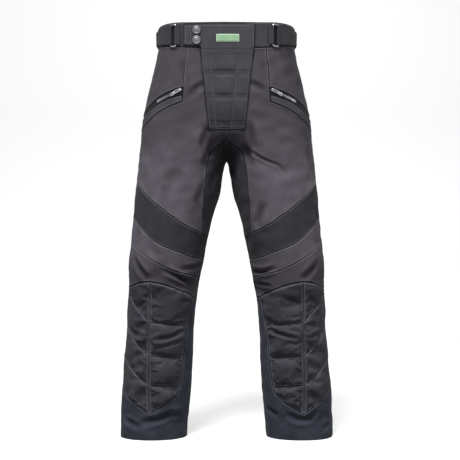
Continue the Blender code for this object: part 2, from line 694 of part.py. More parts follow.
def build_turned(name, profile, sides, frame, colour):
    """A round piece: the profile (radius, height) turned round the frame's z axis."""
    rings = [(radius, height) for radius, height in profile if radius > 0]
    apex = [height for radius, height in profile if radius == 0][0]
    turns = np.arange(sides) * 2 * math.pi / sides
    points = [(0, 0, apex)]
    for radius, height in rings:
        points += [(radius * math.cos(t), radius * math.sin(t), height) for t in turns]
    faces = [(0, 1 + k, 1 + (k + 1) % sides) for k in range(sides)]
    for ring in range(len(rings) - 1):
        start, below = 1 + ring * sides, 1 + (ring + 1) * sides
        faces += [
            (start + k, below + k, below + (k + 1) % sides, start + (k + 1) % sides)
            for k in range(sides)
        ]
    last = 1 + (len(rings) - 1) * sides
    faces.append(tuple(last + k for k in reversed(range(sides))))
    return add_object(name, [tuple((frame @ Vector(p)) * MM) for p in points], faces, colour)


def rim_lengths(start_x):
    """Places across and how far along the waistband from start_x each one lies, at mid height."""
    drop = (STRAP_TOP + STRAP_FOOT) / 2
    samples = np.linspace(0, 2, RIM_SAMPLES)
    points = surface(samples, drop)[0]
    length = np.concatenate([[0], np.cumsum(np.linalg.norm(np.diff(points, axis=0), axis=1))])
    return samples, length - np.interp(float(across_at(start_x, drop)), samples, length)


def rim_across(start_x, distance):
    """The place across that lies a distance along the waistband from start_x."""
    samples, length = rim_lengths(start_x)
    return np.interp(distance, length, samples)


def ribbon(name, start_x, path, cloth, side, colour):
    """A strap: a thin strip that follows a path of (distance along the waistband, height)."""
    path = np.array(path, float)
    ahead = np.diff(path, axis=0)
    ahead /= np.linalg.norm(ahead, axis=1)[:, None]
    before = np.concatenate([ahead[:1], ahead])
    after = np.concatenate([ahead, ahead[-1:]])
    sideways = np.stack([-(before + after)[:, 1], (before + after)[:, 0]], -1)
    spread = (sideways**2).sum(1)[:, None] / 2
    sideways = sideways / spread * cloth / 2
    rims = []
    for line_points in (path + sideways, path - sideways):
        across = rim_across(start_x, line_points[:, 0])
        foot = np.minimum(STRAP_FOOT, waist_seam_drop(across) - STRAP_FOOT_MARGIN)
        rims.append(surface(across, STRAP_TOP, line_points[:, 1])[0])
        rims.append(surface(across, foot, line_points[:, 1])[0])
    count = len(path)
    vertices = np.concatenate(rims) * MM
    outer_top, outer_foot, inner_top, inner_foot = (k * count for k in range(4))
    shell = []
    for k in range(count - 1):
        shell.append((outer_top + k, outer_foot + k, outer_foot + k + 1, outer_top + k + 1))
        shell.append((inner_top + k, inner_top + k + 1, inner_foot + k + 1, inner_foot + k))
        shell.append((outer_top + k, outer_top + k + 1, inner_top + k + 1, inner_top + k))
        shell.append((outer_foot + k, inner_foot + k, inner_foot + k + 1, outer_foot + k + 1))
    end = count - 1
    shell.append((outer_top, inner_top, inner_foot, outer_foot))
    shell.append((outer_top + end, outer_foot + end, inner_foot + end, inner_top + end))
    if side == "left":
        vertices[:, 0] *= -1
        shell = [face[::-1] for face in shell]
    return add_object(name, vertices, shell, colour)


def wrap(bar, towards, low):
    """A half turn round the ring's bar, from the low layer to the high one."""
    radius = RING_WIRE + WRAP_GAP + STRAP_CLOTH / 2
    turns = np.linspace(-math.pi / 2, math.pi / 2, WRAP_STEPS + 1)
    return [(bar + towards * radius * math.cos(t), low + radius * (1 + math.sin(t))) for t in turns]


def build_strap(side):
    """The adjuster strap, the loop that ties its ring to the waistband, and the ring."""
    ring_x = RING_X[side]
    low = BAND_LIFT + STRAP_GAP + STRAP_CLOTH / 2
    high = low + STRAP_CLOTH + STRAP_GAP
    side_distance = float(np.interp(1.0, *rim_lengths(ring_x)))
    end = side_distance + STRAP_END_BEHIND_SIDE
    turn_place = float(across_at(STRAP_TURN_END_X, (STRAP_TOP + STRAP_FOOT) / 2))
    turn_end = float(np.interp(turn_place, *rim_lengths(ring_x)))
    under = [(d, low) for d in np.arange(end, RING_HALF_WIDTH + STRAP_STEP / 2, -STRAP_STEP)]
    over_start = RING_HALF_WIDTH + STRAP_STEP + 2
    over = [(d, high) for d in np.arange(over_start, turn_end, STRAP_STEP)] + [(turn_end, high)]
    path = under + wrap(RING_HALF_WIDTH, -1, low) + over
    ribbon(f"strap_{side}", ring_x, path, STRAP_CLOTH, side, "band")

    base = -RING_HALF_WIDTH - LOOP_LENGTH
    path = [(base, low)] + wrap(-RING_HALF_WIDTH, 1, low) + [(base + 2, high), (base, high)]
    ribbon(f"strap_loop_{side}", ring_x, path, STRAP_CLOTH, side, "waist")

    bar_lift = low + RING_WIRE + WRAP_GAP + STRAP_CLOTH / 2
    build_ring(f"strap_ring_{side}", ring_x, bar_lift, side)


def build_ring(name, ring_x, lift, side):
    """A rectangular loop of wire with rounded corners."""
    corners = (
        (RING_HALF_WIDTH, RING_DROPS[0], 0), (-RING_HALF_WIDTH, RING_DROPS[0], 1),
        (-RING_HALF_WIDTH, RING_DROPS[1], 2), (RING_HALF_WIDTH, RING_DROPS[1], 3),
    )
    places = []
    for distance, drop, quarter in corners:
        centre_d = distance - math.copysign(RING_CORNER, distance)
        centre_z = drop + (RING_CORNER if quarter < 2 else -RING_CORNER)
        for k in range(RING_CORNER_STEPS + 1):
            turn = math.pi / 2 * (quarter + k / RING_CORNER_STEPS)
            place_d = centre_d + RING_CORNER * math.cos(turn)
            places.append((place_d, centre_z - RING_CORNER * math.sin(turn)))
    spline_curve = bpy.data.curves.new(name, "CURVE")
    spline_curve.dimensions = "3D"
    spline_curve.bevel_depth = RING_WIRE * MM
    spline_curve.bevel_resolution = 2
    spline = spline_curve.splines.new("POLY")
    spline.points.add(len(places) - 1)
    mirror = SIDES[side]
    for point, (distance, drop) in zip(spline.points, places):
        across = rim_across(ring_x, distance)
        x, y, z = surface(across, drop, lift)[0] * MM
        point.co = (x * mirror, y, z, 1)
    spline.use_cyclic_u = True
    spline_curve.materials.append(material("steel"))
    made = bpy.data.objects.new(name, spline_curve)
    bpy.context.collection.objects.link(made)
    return made


def add_box(size, centre):
    bpy.ops.mesh.primitive_cube_add(size=1, location=Vector(centre) * MM)
    box = bpy.context.object
    box.scale = Vector(size) * MM
    bpy.ops.object.transform_apply(location=True, rotation=True, scale=True)
    return box


def add_rod(radius, length, sides, centre):
    """A rod along Y."""
    bpy.ops.mesh.primitive_cylinder_add(
        vertices=sides, radius=radius * MM, depth=length * MM,
        location=Vector(centre) * MM, rotation=(math.pi / 2, 0, 0),
    )
    bpy.ops.object.transform_apply(location=True, rotation=True, scale=True)
    return bpy.context.object


def bevel(thing, width):
    modifier = thing.modifiers.new("bevel", "BEVEL")
    modifier.width = width * MM
    modifier.segments = 1
    bpy.context.view_layer.objects.active = thing
    bpy.ops.object.modifier_apply(modifier=modifier.name)


def combine(thing, others, operation):
    for other in others:
        modifier = thing.modifiers.new("combine", "BOOLEAN")
        modifier.operation = operation
        modifier.object = other
        bpy.context.view_layer.objects.active = thing
        bpy.ops.object.modifier_apply(modifier=modifier.name)
        bpy.data.objects.remove(other)


def finish_hardware(thing, name, side, frame, colour):
    """Names a small piece, sets it in its frame and mirrors it for the left half."""
    thing.name = name
    mesh = thing.data
    mesh.name = name
    mesh.transform(Matrix.LocRotScale(frame.translation * MM, frame.to_quaternion(), None))
    if side == "left":
        mesh.transform(Matrix.Diagonal((-1, 1, 1, 1)))
        mesh.flip_normals()
    mesh.materials.clear()
    mesh.materials.append(material(colour))


def build_zip(side):
    """Slider with its bridge bar across the zip, and the pull tab hinged on that bar."""
    frame = frame_on(SLIDER_ACROSS, SLIDER_DROP, TAPE_LIFT + LAY_GAP, PULL_TOWARDS)
    width, length, height = SLIDER_SIZE
    slider = add_box((length, width, height), (0, 0, height / 2))
    bevel(slider, SLIDER_BEVEL)
    axis_height = height + BAR_HEIGHT
    post_height = POST_SUNK + BAR_HEIGHT + BAR_RADIUS + POST_ABOVE_BAR
    post_y = BAR_SPAN / 2 + POST_WIDTH / 2
    posts = [
        add_box((POST_DEPTH, POST_WIDTH, post_height), (0, y, height - POST_SUNK + post_height / 2))
        for y in (-post_y, post_y)
    ]
    bar = add_rod(BAR_RADIUS, BAR_SPAN + POST_WIDTH, BAR_SIDES, (0, 0, axis_height))
    combine(slider, posts + [bar], "UNION")
    finish_hardware(slider, f"zip_slider_{side}", side, frame, "steel")

    eye = add_rod(EYE_OUTER, EYE_LENGTH, EYE_SIDES, (0, 0, 0))
    plate_start = EYE_OUTER + EYE_TO_PLATE
    neck_length = plate_start + NECK_OVERLAP
    neck = add_box(
        (neck_length, EYE_LENGTH - NECK_INSET, PULL_THICK), (neck_length / 2 + NECK_START, 0, 0)
    )
    plate = add_box(
        (PULL_LENGTH - plate_start, PULL_WIDTH, PULL_THICK), ((PULL_LENGTH + plate_start) / 2, 0, 0)
    )
    bevel(plate, PULL_BEVEL)
    combine(eye, [neck, plate], "UNION")
    bore = add_rod(EYE_BORE, EYE_LENGTH + BORE_OVERSHOOT, EYE_SIDES, (0, 0, 0))
    combine(eye, [bore], "DIFFERENCE")
    pivot = frame @ Vector((0, 0, axis_height))
    tip = Vector(surface(*PULL_TOWARDS, PULL_TIP_HEIGHT)[0])
    local = frame.to_3x3().transposed() @ (tip - pivot)
    dip = math.atan2(-local.z, local.x)
    pull_frame = frame @ Matrix.Rotation(dip, 4, "Y")
    pull_frame.translation = pivot
    finish_hardware(eye, f"zip_pull_{side}", side, pull_frame, "steel")
    mirror = SIDES[side]
    axis = frame.to_3x3() @ Vector((0, 1, 0))
    print(
        f"hinge of zip_pull_{side}: at",
        [round(c * MM, 5) for c in (pivot.x * mirror, pivot.y, pivot.z)],
        "axis",
        [round(c, 4) for c in (axis.x * mirror, axis.y, axis.z)],
        "dip",
        round(math.degrees(dip), 1),
    )


def main():
    for thing in list(bpy.data.objects):
        bpy.data.objects.remove(thing)
    for side in SIDES:
        build_leg(side)
        build_strap(side)
        build_zip(side)
    build_waistband_back()
    build_fly()


main()
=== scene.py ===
import math

import bpy
import numpy as np
from mathutils import Matrix, Vector


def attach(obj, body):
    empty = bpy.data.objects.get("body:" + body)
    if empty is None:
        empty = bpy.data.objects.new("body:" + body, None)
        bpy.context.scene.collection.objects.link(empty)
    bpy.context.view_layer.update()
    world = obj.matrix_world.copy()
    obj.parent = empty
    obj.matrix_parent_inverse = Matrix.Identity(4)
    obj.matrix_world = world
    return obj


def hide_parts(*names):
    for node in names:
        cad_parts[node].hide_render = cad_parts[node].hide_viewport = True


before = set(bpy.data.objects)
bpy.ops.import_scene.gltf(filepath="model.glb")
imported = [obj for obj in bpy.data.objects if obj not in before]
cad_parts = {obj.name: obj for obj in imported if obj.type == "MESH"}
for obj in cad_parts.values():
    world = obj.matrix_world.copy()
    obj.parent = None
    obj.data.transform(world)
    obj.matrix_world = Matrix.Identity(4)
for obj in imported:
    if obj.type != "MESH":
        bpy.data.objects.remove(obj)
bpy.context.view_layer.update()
print("stage: frame loaded,", len(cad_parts), "nodes")

# Sizes are millimetres and turned into metres where a mesh is made. A place on the cloth is
# (across, drop): across 0 is the centre front or the inseam, 1 the side seam and 2 the centre
# back or the inseam again; drop is the depth below the waist edge. Negative across is the other
# half's front and across above 2 the other half's back.
mm = 0.001
sides = ("left", "right")
hemDrop = 1050.0
crotchDrop = 334.0
valleyTopFront = 268.0  # where the fork between the legs begins
valleyTopBack = 205.0
valleyPower = 2.3  # how square the fork is
squareness = 2.2  # how square the legs' sections are
frontCrown = 5.0  # how far the middle of the front stands out
halfGirth = 300.0  # cloth from across 0 to 1
saddleShare = 0.12
bandLift = 1.0
layGap = 0.4
tabThickness = 2.6
fine = 8  # grid steps for each one that a count gives

sectionColumns = ("drop", "inner", "ridge", "side", "front", "middle", "back", "inseam", "split")
sectionRows = (
    (0, 0, 104, 176, -119, -4, 112, 12, 0.40),
    (45, 0, 104, 175, -119, -4, 117, 12, 0.40),
    (66, 0, 104, 178, -119, -4, 121, 12, 0.40),
    (116, 0, 104, 190, -120, -3, 133, 12, 0.385),
    (178, 0, 105, 204, -121, -2, 143, 12, 0.38),
    (240, 0, 107, 217, -121, 0, 146, 12, 0.385),
    (272, 0, 109, 220, -120, 1, 144, 12, 0.40),
    (303, 0, 112, 222, -119, 2, 140, 12, 0.45),
    (334, 0, 115, 225, -118, 2, 133, 12, 0.50),
    (350, 6.5, 118, 228, -117, 2, 129, 11, 0.50),
    (412, 15.5, 126, 234, -114, 0, 117, 6, 0.50),
    (474, 34, 137, 239, -110, -3, 106, 0, 0.50),
    (537, 49, 147, 244, -106, -6, 95, -5, 0.50),
    (599, 61, 156, 251, -102, -9, 84, -9, 0.50),
    (662, 73, 163, 252, -98, -10, 75, -10, 0.50),
    (724, 82, 169, 255, -93, -10, 70, -10, 0.50),
    (786, 86, 173, 257.5, -86, -8, 71, -8, 0.50),
    (849, 88, 177, 264, -78, -4, 76, -4, 0.50),
    (911, 92, 181, 269, -72, 0, 78, 0, 0.50),
    (974, 97.5, 186, 273, -67, 4, 79, 4, 0.50),
    (1050, 104, 190, 275, -64, 6, 79, 6, 0.50),
)

# Folds of the cloth: half width, height (troughs below 0), rebound, and the places of the line
# they follow. Rebound is the share of the height by which the cloth rises beside a trough.
broadFolds = {
    "left": (
        (15, -5.0, 0.0, 0.25, 270, 0.31, 345),
        (26, 2.5, 0.0, 0.33, 285, 0.4, 420),
        (20, -3.0, 0.0, 0.52, 412, 0.3, 432),
        (15, -4.0, 0.0, 0.02, 640, 0.34, 655),
        (16, -3.0, 0.0, 0.52, 622, 0.7, 655),
        (16, -4.0, 0.0, 0.4, 995, 0.06, 1012),
        (18, 3.0, 0.0, 0.85, 1010, 0.56, 1030),
        (20, -5.0, 0.0, 1.2, 690, 1.85, 704),
        (20, -4.0, 0.0, 1.15, 735, 1.8, 742),
        (20, -4.0, 0.0, 1.3, 352, 1.85, 382),
    ),
    "right": (
        (14, -4.0, 0.0, 0.27, 268, 0.33, 330),
        (18, -2.2, 0.0, 0.27, 318, 0.55, 368),
        (16, -1.6, 0.0, 0.38, 455, 0.33, 520),
        (12, 1.5, 0.0, 0.21, 300, 0.17, 312),
        (14, -3.0, 0.0, 0.02, 662, 0.28, 672),
        (17, -4.0, 0.0, 0.62, 1000, 0.92, 985),
        (15, -3.5, 0.0, 0.2, 975, 0.34, 1000),
        (20, -5.0, 0.0, 1.22, 694, 1.8, 686),
        (20, -4.0, 0.0, 1.2, 740, 1.85, 748),
        (20, -4.0, 0.0, 1.28, 360, 1.8, 376),
    ),
}
fineFolds = {
    "left": (
        (7, -2.0, 0.4, 0.25, 146, 0.32, 166, 0.376, 192),
        (6, -2.6, 0.4, 0.251, 263, 0.278, 280, 0.323, 304, 0.358, 332),
        (9, -2.2, 0.3, 0.12, 340, 0.2, 372, 0.24, 420),
        (15, -2.2, 0.3, 0.47, 372, 0.58, 402),
        (6, -2.2, 0.5, 0.835, 763, 0.72, 780, 0.598, 789),
        (6, -2.4, 0.5, 0.536, 791, 0.4, 784, 0.257, 770),
        (5, -1.5, 0.4, 0.523, 814, 0.38, 802, 0.252, 795),
        (8, -3.4, 0.4, 0.61, 1007, 0.458, 997, 0.345, 984, 0.182, 988),
        (7, -2.6, 0.4, 0.81, 1000, 0.607, 1017),
        (6, -2.8, 0.4, 0.04, 593, 0.215, 610, 0.357, 614),
        (5, -2.2, 0.4, 0.152, 636, 0.276, 642, 0.372, 639),
        (8, -3.4, 0.5, 0.804, 590, 0.696, 619, 0.617, 641),
        (6, -3.8, 0.6, 0.501, 616, 0.395, 630, 0.231, 651),
        (9, -1.4, 0.3, 0.628, 559, 0.531, 586),
        (10, -1.6, 0.3, 0.565, 404, 0.566, 454, 0.54, 496),
        (9, -2.0, 0.3, 0.298, 386, 0.324, 441, 0.267, 478),
        (9, -1.2, 0.3, 0.415, 94, 0.385, 150, 0.41, 193),
        (8, -3.0, 0.4, 0.218, 292, 0.323, 336, 0.289, 365),
        (11, -2.0, 0.3, 0.88, 470, 0.8, 540),
        (14, -2.0, 0.3, 0.9, 300, 0.97, 372),
        (8, -3.0, 0.4, 1.15, 640, 1.42, 662, 1.7, 655),
        (7, -3.2, 0.5, 1.3, 716, 1.55, 722, 1.82, 714),
        (8, -2.6, 0.4, 1.12, 772, 1.4, 790),
        (8, -2.4, 0.4, 1.7, 788, 1.88, 772),
        (8, -2.8, 0.4, 1.45, 330, 1.7, 346, 1.92, 338),
        (10, -2.2, 0.3, 1.25, 300, 1.5, 318),
        (9, -2.4, 0.4, 1.62, 420, 1.88, 404),
        (11, -1.6, 0.3, 1.72, 120, 1.8, 190),
        (10, -2.6, 0.4, 1.3, 990, 1.62, 1004),
        (9, -2.2, 0.3, 1.75, 960, 1.92, 985),
        (12, -2.0, 0.3, 1.2, 880, 1.52, 902),
        (10, -2.2, 0.3, 1.92, 560, 1.72, 590),
    ),
    "right": (
        (7, -2.0, 0.4, 0.27, 146, 0.32, 158, 0.366, 174),
        (6, -2.6, 0.4, 0.276, 243, 0.3, 275, 0.364, 316),
        (3.4, -1.9, 0.35, 0.275, 310, 0.363, 323, 0.419, 335, 0.476, 346, 0.528, 355, 0.581, 384),
        (9, -1.4, 0.4, 0.399, 446, 0.34, 476, 0.282, 508),
        (9, -2.0, 0.3, 0.1, 352, 0.17, 396),
        (6, -2.4, 0.5, 0.237, 767, 0.405, 779, 0.529, 788),
        (6, -1.8, 0.4, 0.6, 792, 0.78, 772),
        (8, -3.4, 0.4, 0.371, 984, 0.491, 997, 0.581, 995, 0.668, 975),
        (7, -3.0, 0.4, 0.123, 974, 0.287, 988),
        (7, -2.0, 0.4, 0.86, 1012, 0.72, 1024),
        (6, -3.4, 0.6, 0.397, 611, 0.27, 622, 0.042, 619),
        (8, -3.0, 0.5, 0.785, 597, 0.675, 622, 0.59, 641),
        (5, -2.4, 0.5, 0.02, 646, 0.217, 653, 0.334, 657),
        (9, -1.8, 0.3, 0.374, 454, 0.304, 496, 0.316, 531),
        (9, -1.2, 0.3, 0.365, 99, 0.37, 154, 0.358, 188),
        (8, -3.0, 0.4, 0.236, 300, 0.326, 331, 0.329, 361),
        (11, -2.0, 0.3, 0.84, 452, 0.9, 520),
        (14, -1.8, 0.3, 0.8, 300, 0.86, 380),
        (8, -3.0, 0.4, 1.18, 652, 1.45, 640, 1.66, 650),
        (7, -3.2, 0.5, 1.25, 714, 1.52, 708, 1.78, 716),
        (8, -2.6, 0.4, 1.1, 790, 1.36, 776),
        (8, -2.4, 0.4, 1.66, 770, 1.9, 786),
        (8, -2.8, 0.4, 1.4, 342, 1.66, 332, 1.9, 344),
        (10, -2.2, 0.3, 1.22, 318, 1.44, 300),
        (9, -2.4, 0.4, 1.58, 404, 1.86, 420),
        (11, -1.6, 0.3, 1.7, 130, 1.76, 204),
        (10, -2.6, 0.4, 1.26, 1004, 1.56, 988),
        (9, -2.2, 0.3, 1.72, 984, 1.9, 962),
        (12, -2.0, 0.3, 1.24, 900, 1.5, 884),
        (10, -2.2, 0.3, 1.9, 582, 1.7, 560),
    ),
}

# Seams, as places on the cloth
verticalSeam = ((0.392, 66), (0.386, 115), (0.39, 162))
zipTop = ((0.39, 162), (0.495, 170), (0.60, 180), (0.685, 190), (0.80, 206), (1.0, 226))
weltTop = ((0.39, 181), (0.485, 187), (0.59, 197), (0.72, 212), (0.80, 222), (1.0, 236))
weltFoot = ((0.393, 198), (0.48, 207), (0.60, 221), (0.70, 235), (0.81, 250), (1.0, 264))
thighEdge = (
    (0.03, 285), (0.10, 292), (0.195, 305), (0.262, 319), (0.292, 337), (0.294, 360),
    (0.285, 410), (0.25, 461), (0.21, 500), (0.19, 526),
)
bandTopInner = ((0.0, 541), (0.10, 534), (0.19, 526))
bandTop = (
    (0.19, 526), (0.30, 514), (0.42, 498), (0.51, 477), (0.607, 454), (0.685, 437),
    (0.776, 417), (0.877, 397), (1.0, 380),
)
bandFoot = (
    (0.0, 593), (0.12, 590), (0.27, 584), (0.375, 574), (0.475, 563), (0.60, 543),
    (0.68, 527), (0.75, 513), (0.868, 495), (1.0, 478),
)
yokeSeam = (
    (0.0, 640), (0.14, 635), (0.285, 627), (0.41, 619), (0.50, 607), (0.595, 591),
    (0.704, 574), (0.88, 552), (1.0, 540),
)
stripTop = ((0.0, 692), (0.155, 686))
stripFootDrop = 935.0
padTopInner = ((0.155, 686), (0.197, 680), (0.31, 670), (0.42, 659), (0.51, 650), (0.597, 645))
padTopOuter = ((0.597, 645), (0.71, 649), (0.84, 659), (1.0, 668))
padLinesInner = (
    ((0.197, 758), (0.40, 752), (0.574, 747)),
    ((0.237, 840), (0.40, 836), (0.562, 833)),
    ((0.262, 917), (0.40, 912), (0.552, 908)),
    ((0.28, 930), (0.31, 939), (0.38, 955), (0.464, 969), (0.525, 983)),
)
padLinesOuter = (
    ((0.574, 747), (0.65, 728), (0.745, 706), (0.845, 689), (1.0, 683)),
    ((0.562, 833), (0.64, 816), (0.727, 795), (0.85, 772), (1.0, 752)),
    ((0.552, 908), (0.65, 888), (0.727, 871), (0.854, 853), (1.0, 838)),
    ((0.525, 983), (0.60, 969), (0.71, 952), (0.83, 937), (1.0, 920)),
)
flyColumns = ("drop", "left", "leftLine", "rightLine", "right")
flyRows = (
    (66.6, -64, -41, 33, 68),
    (73, -63, -40, 32, 67),
    (128, -58, -37, 26, 60),
    (186, -51, -33, 19, 54),
    (252, -45, -26, 13, 47),
    (264, -44, -25, 12, 46),
)
tabRows = (
    (-106, 7, 57), (-90, 7, 58.5), (-72, 6.5, 59.5), (-64, 6.5, 60), (-62, 6.5, 66),
    (-38, 6, 66), (-12, 6, 66), (14, 6, 66), (42, 6, 66), (71, 6, 66),
)


# Smooth curve through rows: a cubic between two rows whose slopes are the harmonic mean of the
# slopes on both sides, or none where the rows turn.
def through(knots, values, at):
    steps = np.diff(knots)
    rises = np.diff(values) / steps
    before, after = rises[:-1], rises[1:]
    same = before * after > 0
    slopes = np.zeros(len(knots))
    slopes[1:-1][same] = 2 * before[same] * after[same] / (before[same] + after[same])
    slopes[0], slopes[-1] = rises[0], rises[-1]
    i = np.clip(np.searchsorted(knots, at) - 1, 0, len(knots) - 2)
    s = np.clip((at - knots[i]) / steps[i], 0, 1)
    start = (1 + 2 * s) * (1 - s) ** 2 * values[i] + s * (1 - s) ** 2 * steps[i] * slopes[i]
    end = s**2 * (3 - 2 * s) * values[i + 1] + s**2 * (s - 1) * steps[i] * slopes[i + 1]
    return start + end


def readColumn(columns, rows, name, at):
    table = np.array(rows, float)
    return through(table[:, 0], table[:, columns.index(name)], np.asarray(at, float))


def sectionAt(drop):
    return {name: readColumn(sectionColumns, sectionRows, name, drop) for name in sectionColumns}


def smoothStep(value, low, high):
    share = np.clip((value - low) / (high - low), 0, 1)
    return share * share * (3 - 2 * share)


def acrossAt(x, drop):
    x = np.asarray(x, float)
    size = sectionAt(drop)
    half = squareness / 2
    innerShare = np.clip((size["ridge"] - np.abs(x)) / (size["ridge"] - size["inner"]), 0, 1)
    outerShare = np.clip((np.abs(x) - size["ridge"]) / (size["side"] - size["ridge"]), 0, 1)
    inner = np.arccos(innerShare**half) / (math.pi / 2) * size["split"]
    outer = np.arcsin(outerShare**half) / (math.pi / 2)
    outer = size["split"] + outer * (1 - size["split"])
    return np.sign(x) * np.where(np.abs(x) < size["ridge"], inner, outer)


def waistSeamDrop(across):
    across = np.asarray(across)
    return 66.0 - 22.0 * np.where(across > 1, np.abs(2 - across), across) ** 2


# exp(-(x / width)^2)
def bell(x, width):
    return np.exp(-((x / width) ** 2))


# 1 between the two middle ones of four limits, fading to 0 at the outer ones
def within(value, limits):
    return smoothStep(value, *limits[:2]) * (1 - smoothStep(value, *limits[2:]))


def placesOf(across, drop):
    return np.stack(np.broadcast_arrays(across, drop), -1).astype(float)


def placesAtX(x, drop):
    return placesOf(acrossAt(x, drop), drop)


def flyEdge(drop, side):
    drop = np.clip(drop, flyRows[0][0], flyRows[-1][0])
    return np.abs(readColumn(flyColumns, flyRows, side, drop))


# Distance along a line from its first point to each
def lengthAlong(points):
    return np.concatenate([[0], np.cumsum(np.linalg.norm(np.diff(points, axis=0), axis=1))])


# Values of a line's points, read between them at some distances
def readAlong(at, length, values):
    return np.stack([np.interp(at, length, column) for column in values.T], -1)


def unit(vectors):
    return vectors / np.linalg.norm(vectors, axis=1)[:, None]


# Height of one fold: h (exp(-s^2) - rebound exp(-1.5 (s - 1.7)^2)), s being the distance from
# its line in half widths; it fades towards both ends of the line.
def foldHeight(across, drop, width, height, rebound, *path):
    points = np.reshape(path, (-1, 2)) * (halfGirth, 1)
    here = np.stack([across * halfGirth, drop], -1)
    best = np.full(across.shape, 1e9)
    along = np.zeros(across.shape)
    start = 0.0
    for a, b in zip(points, points[1:]):
        length = float(np.linalg.norm(b - a))
        share = np.clip(((here - a) @ (b - a)) / length**2, 0, 1)
        away = np.linalg.norm(here - a - share[..., None] * (b - a), axis=-1)
        nearer = away < best
        best = np.where(nearer, away, best)
        along = np.where(nearer, start + share * length, along)
        start += length
    ends = np.sin(np.pi * np.clip(along / start, 0, 1)) ** 0.6 if rebound else 1.0
    s = best / width
    return height * ends * (np.exp(-(s**2)) - rebound * np.exp(-1.5 * (s - 1.7) ** 2))


# Soft unevenness: a sum of sines in many directions, each as high as it is long.
def clothWaves(across, drop, seed, amount, shortest=26.0, longest=120.0, count=16):
    rng = np.random.default_rng(seed)
    lengths = np.exp(rng.uniform(np.log(shortest), np.log(longest), count))
    angles = rng.uniform(0, np.pi, count)
    phases = rng.uniform(0, 2 * np.pi, count)
    total = np.zeros(np.shape(across))
    for length, angle, phase in zip(lengths, angles, phases):
        distance = across * halfGirth * math.cos(angle) + drop * math.sin(angle)
        total += length * np.sin(2 * np.pi * distance / length + phase)
    return amount * total / math.sqrt((lengths**2).sum() / 2)


clothRelief = {"waves": 0.6, "seeds": {"left": 5, "right": 8}, "foldScale": 1.8,
               "waistFade": (2, 26), "flyFade": (0, 16), "flyFoot": (268, 284),
               "pocketStart": 0.39, "pocketMiddle": 9.0, "pocketFade": (14, 34)}


# Relief of the cloth of one half: its folds and waves, without waves under the fly, along the
# pocket zip and at the waist seam, where other pieces lie on it.
def clothRise(across, drop, side):
    look = clothRelief
    rise = sum(foldHeight(across, drop, *fold) for fold in broadFolds[side])
    small = clothWaves(across, drop, look["seeds"][side], look["waves"])
    for fold in fineFolds[side]:
        small += look["foldScale"] * foldHeight(across, drop, *fold)
    x = np.abs(np.clip(across, 0, 1)) * halfGirth * 0.9
    beside = smoothStep(x - flyEdge(drop, side), *look["flyFade"])
    beside += smoothStep(drop, *look["flyFoot"])
    small *= np.where(across < 1, np.clip(beside, 0, 1), 1)
    pocket = np.clip(across, look["pocketStart"], 1.0)
    pocket = readColumn(("across", "drop"), zipTop, "drop", pocket) + look["pocketMiddle"]
    beside = smoothStep(np.abs(drop - pocket), *look["pocketFade"])
    beside += smoothStep(look["pocketStart"] - across, 0.0, 0.05)
    small *= np.where(across < 1, np.clip(beside, 0, 1), 1)
    small *= smoothStep(drop - waistSeamDrop(np.clip(across, 0, 2)), *look["waistFade"])
    return rise + small


# Amounts of painted shade and painted light on the cloth, with the drops and shares over which each
# fades
paintedShadeAmounts = {
    "trough": 0.055, "least": -0.2, "most": 0.45, "crotch": 0.55, "crotchReach": 34.0,
    "crotchSeam": 0.8, "crotchSeamDrops": (262, 290, 350, 400),
    "outer": 0.12, "outerShares": (0.5, 0.75), "outerDrops": (250, 330, 430, 520),
    "thigh": 0.42, "thighShares": (0.16, 0.44), "thighDrops": (262, 330, 560, 680),
    "hip": 0.7, "hipDrops": (200, 420), "fly": 0.75, "flyReach": 3.2, "flyFoot": 268,
    "sideSeams": 0.75, "sideSeamDrops": (330, 400), "sideReach": 15.0, "inseamReach": 17.0,
    "knee": 0.72, "kneeDrops": (560, 630, 670, 720),
}


# Painted shade and light on the cloth: darker in its troughs, at the crotch, beside the fly and the
# seams, on the inner thigh, the hips and above the knees; lighter on its ridges and on the outer
# thighs.
def paintedClothShade(across, drop, side):
    tone = paintedShadeAmounts
    trough = -tone["trough"] * clothRise(across, drop, side)
    shade = np.clip(trough, tone["least"], tone["most"])
    share = np.where(across > 1, 2 - across, across)
    fromInseam = share * halfGirth
    away = np.hypot(fromInseam, drop - crotchDrop + 12)
    shade += tone["crotch"] * bell(away, tone["crotchReach"])
    crotchSeam = bell(fromInseam, 3 + 8 * smoothStep(drop, 280, 330))
    shade += tone["crotchSeam"] * crotchSeam * within(drop, tone["crotchSeamDrops"])
    outer = smoothStep(share, *tone["outerShares"]) * within(drop, tone["outerDrops"])
    inner = 1 - smoothStep(share, *tone["thighShares"])
    shade += tone["thigh"] * inner * within(drop, tone["thighDrops"]) - tone["outer"] * outer
    shade += tone["hip"] * (1 - smoothStep(drop, *tone["hipDrops"]))
    x = clothPoint(across, drop)[0][..., 0] - flyEdge(drop, side)
    pastFly = np.hypot(np.maximum(x, 0), np.maximum(drop - tone["flyFoot"], 0))
    shade += tone["fly"] * bell(pastFly, tone["flyReach"]) * (across < 0.5)
    besideSeams = bell((1 - share) * halfGirth, tone["sideReach"])
    besideSeams += bell(fromInseam, tone["inseamReach"])
    shade += tone["sideSeams"] * besideSeams * smoothStep(drop, *tone["sideSeamDrops"])
    return shade + tone["knee"] * within(drop, tone["kneeDrops"])


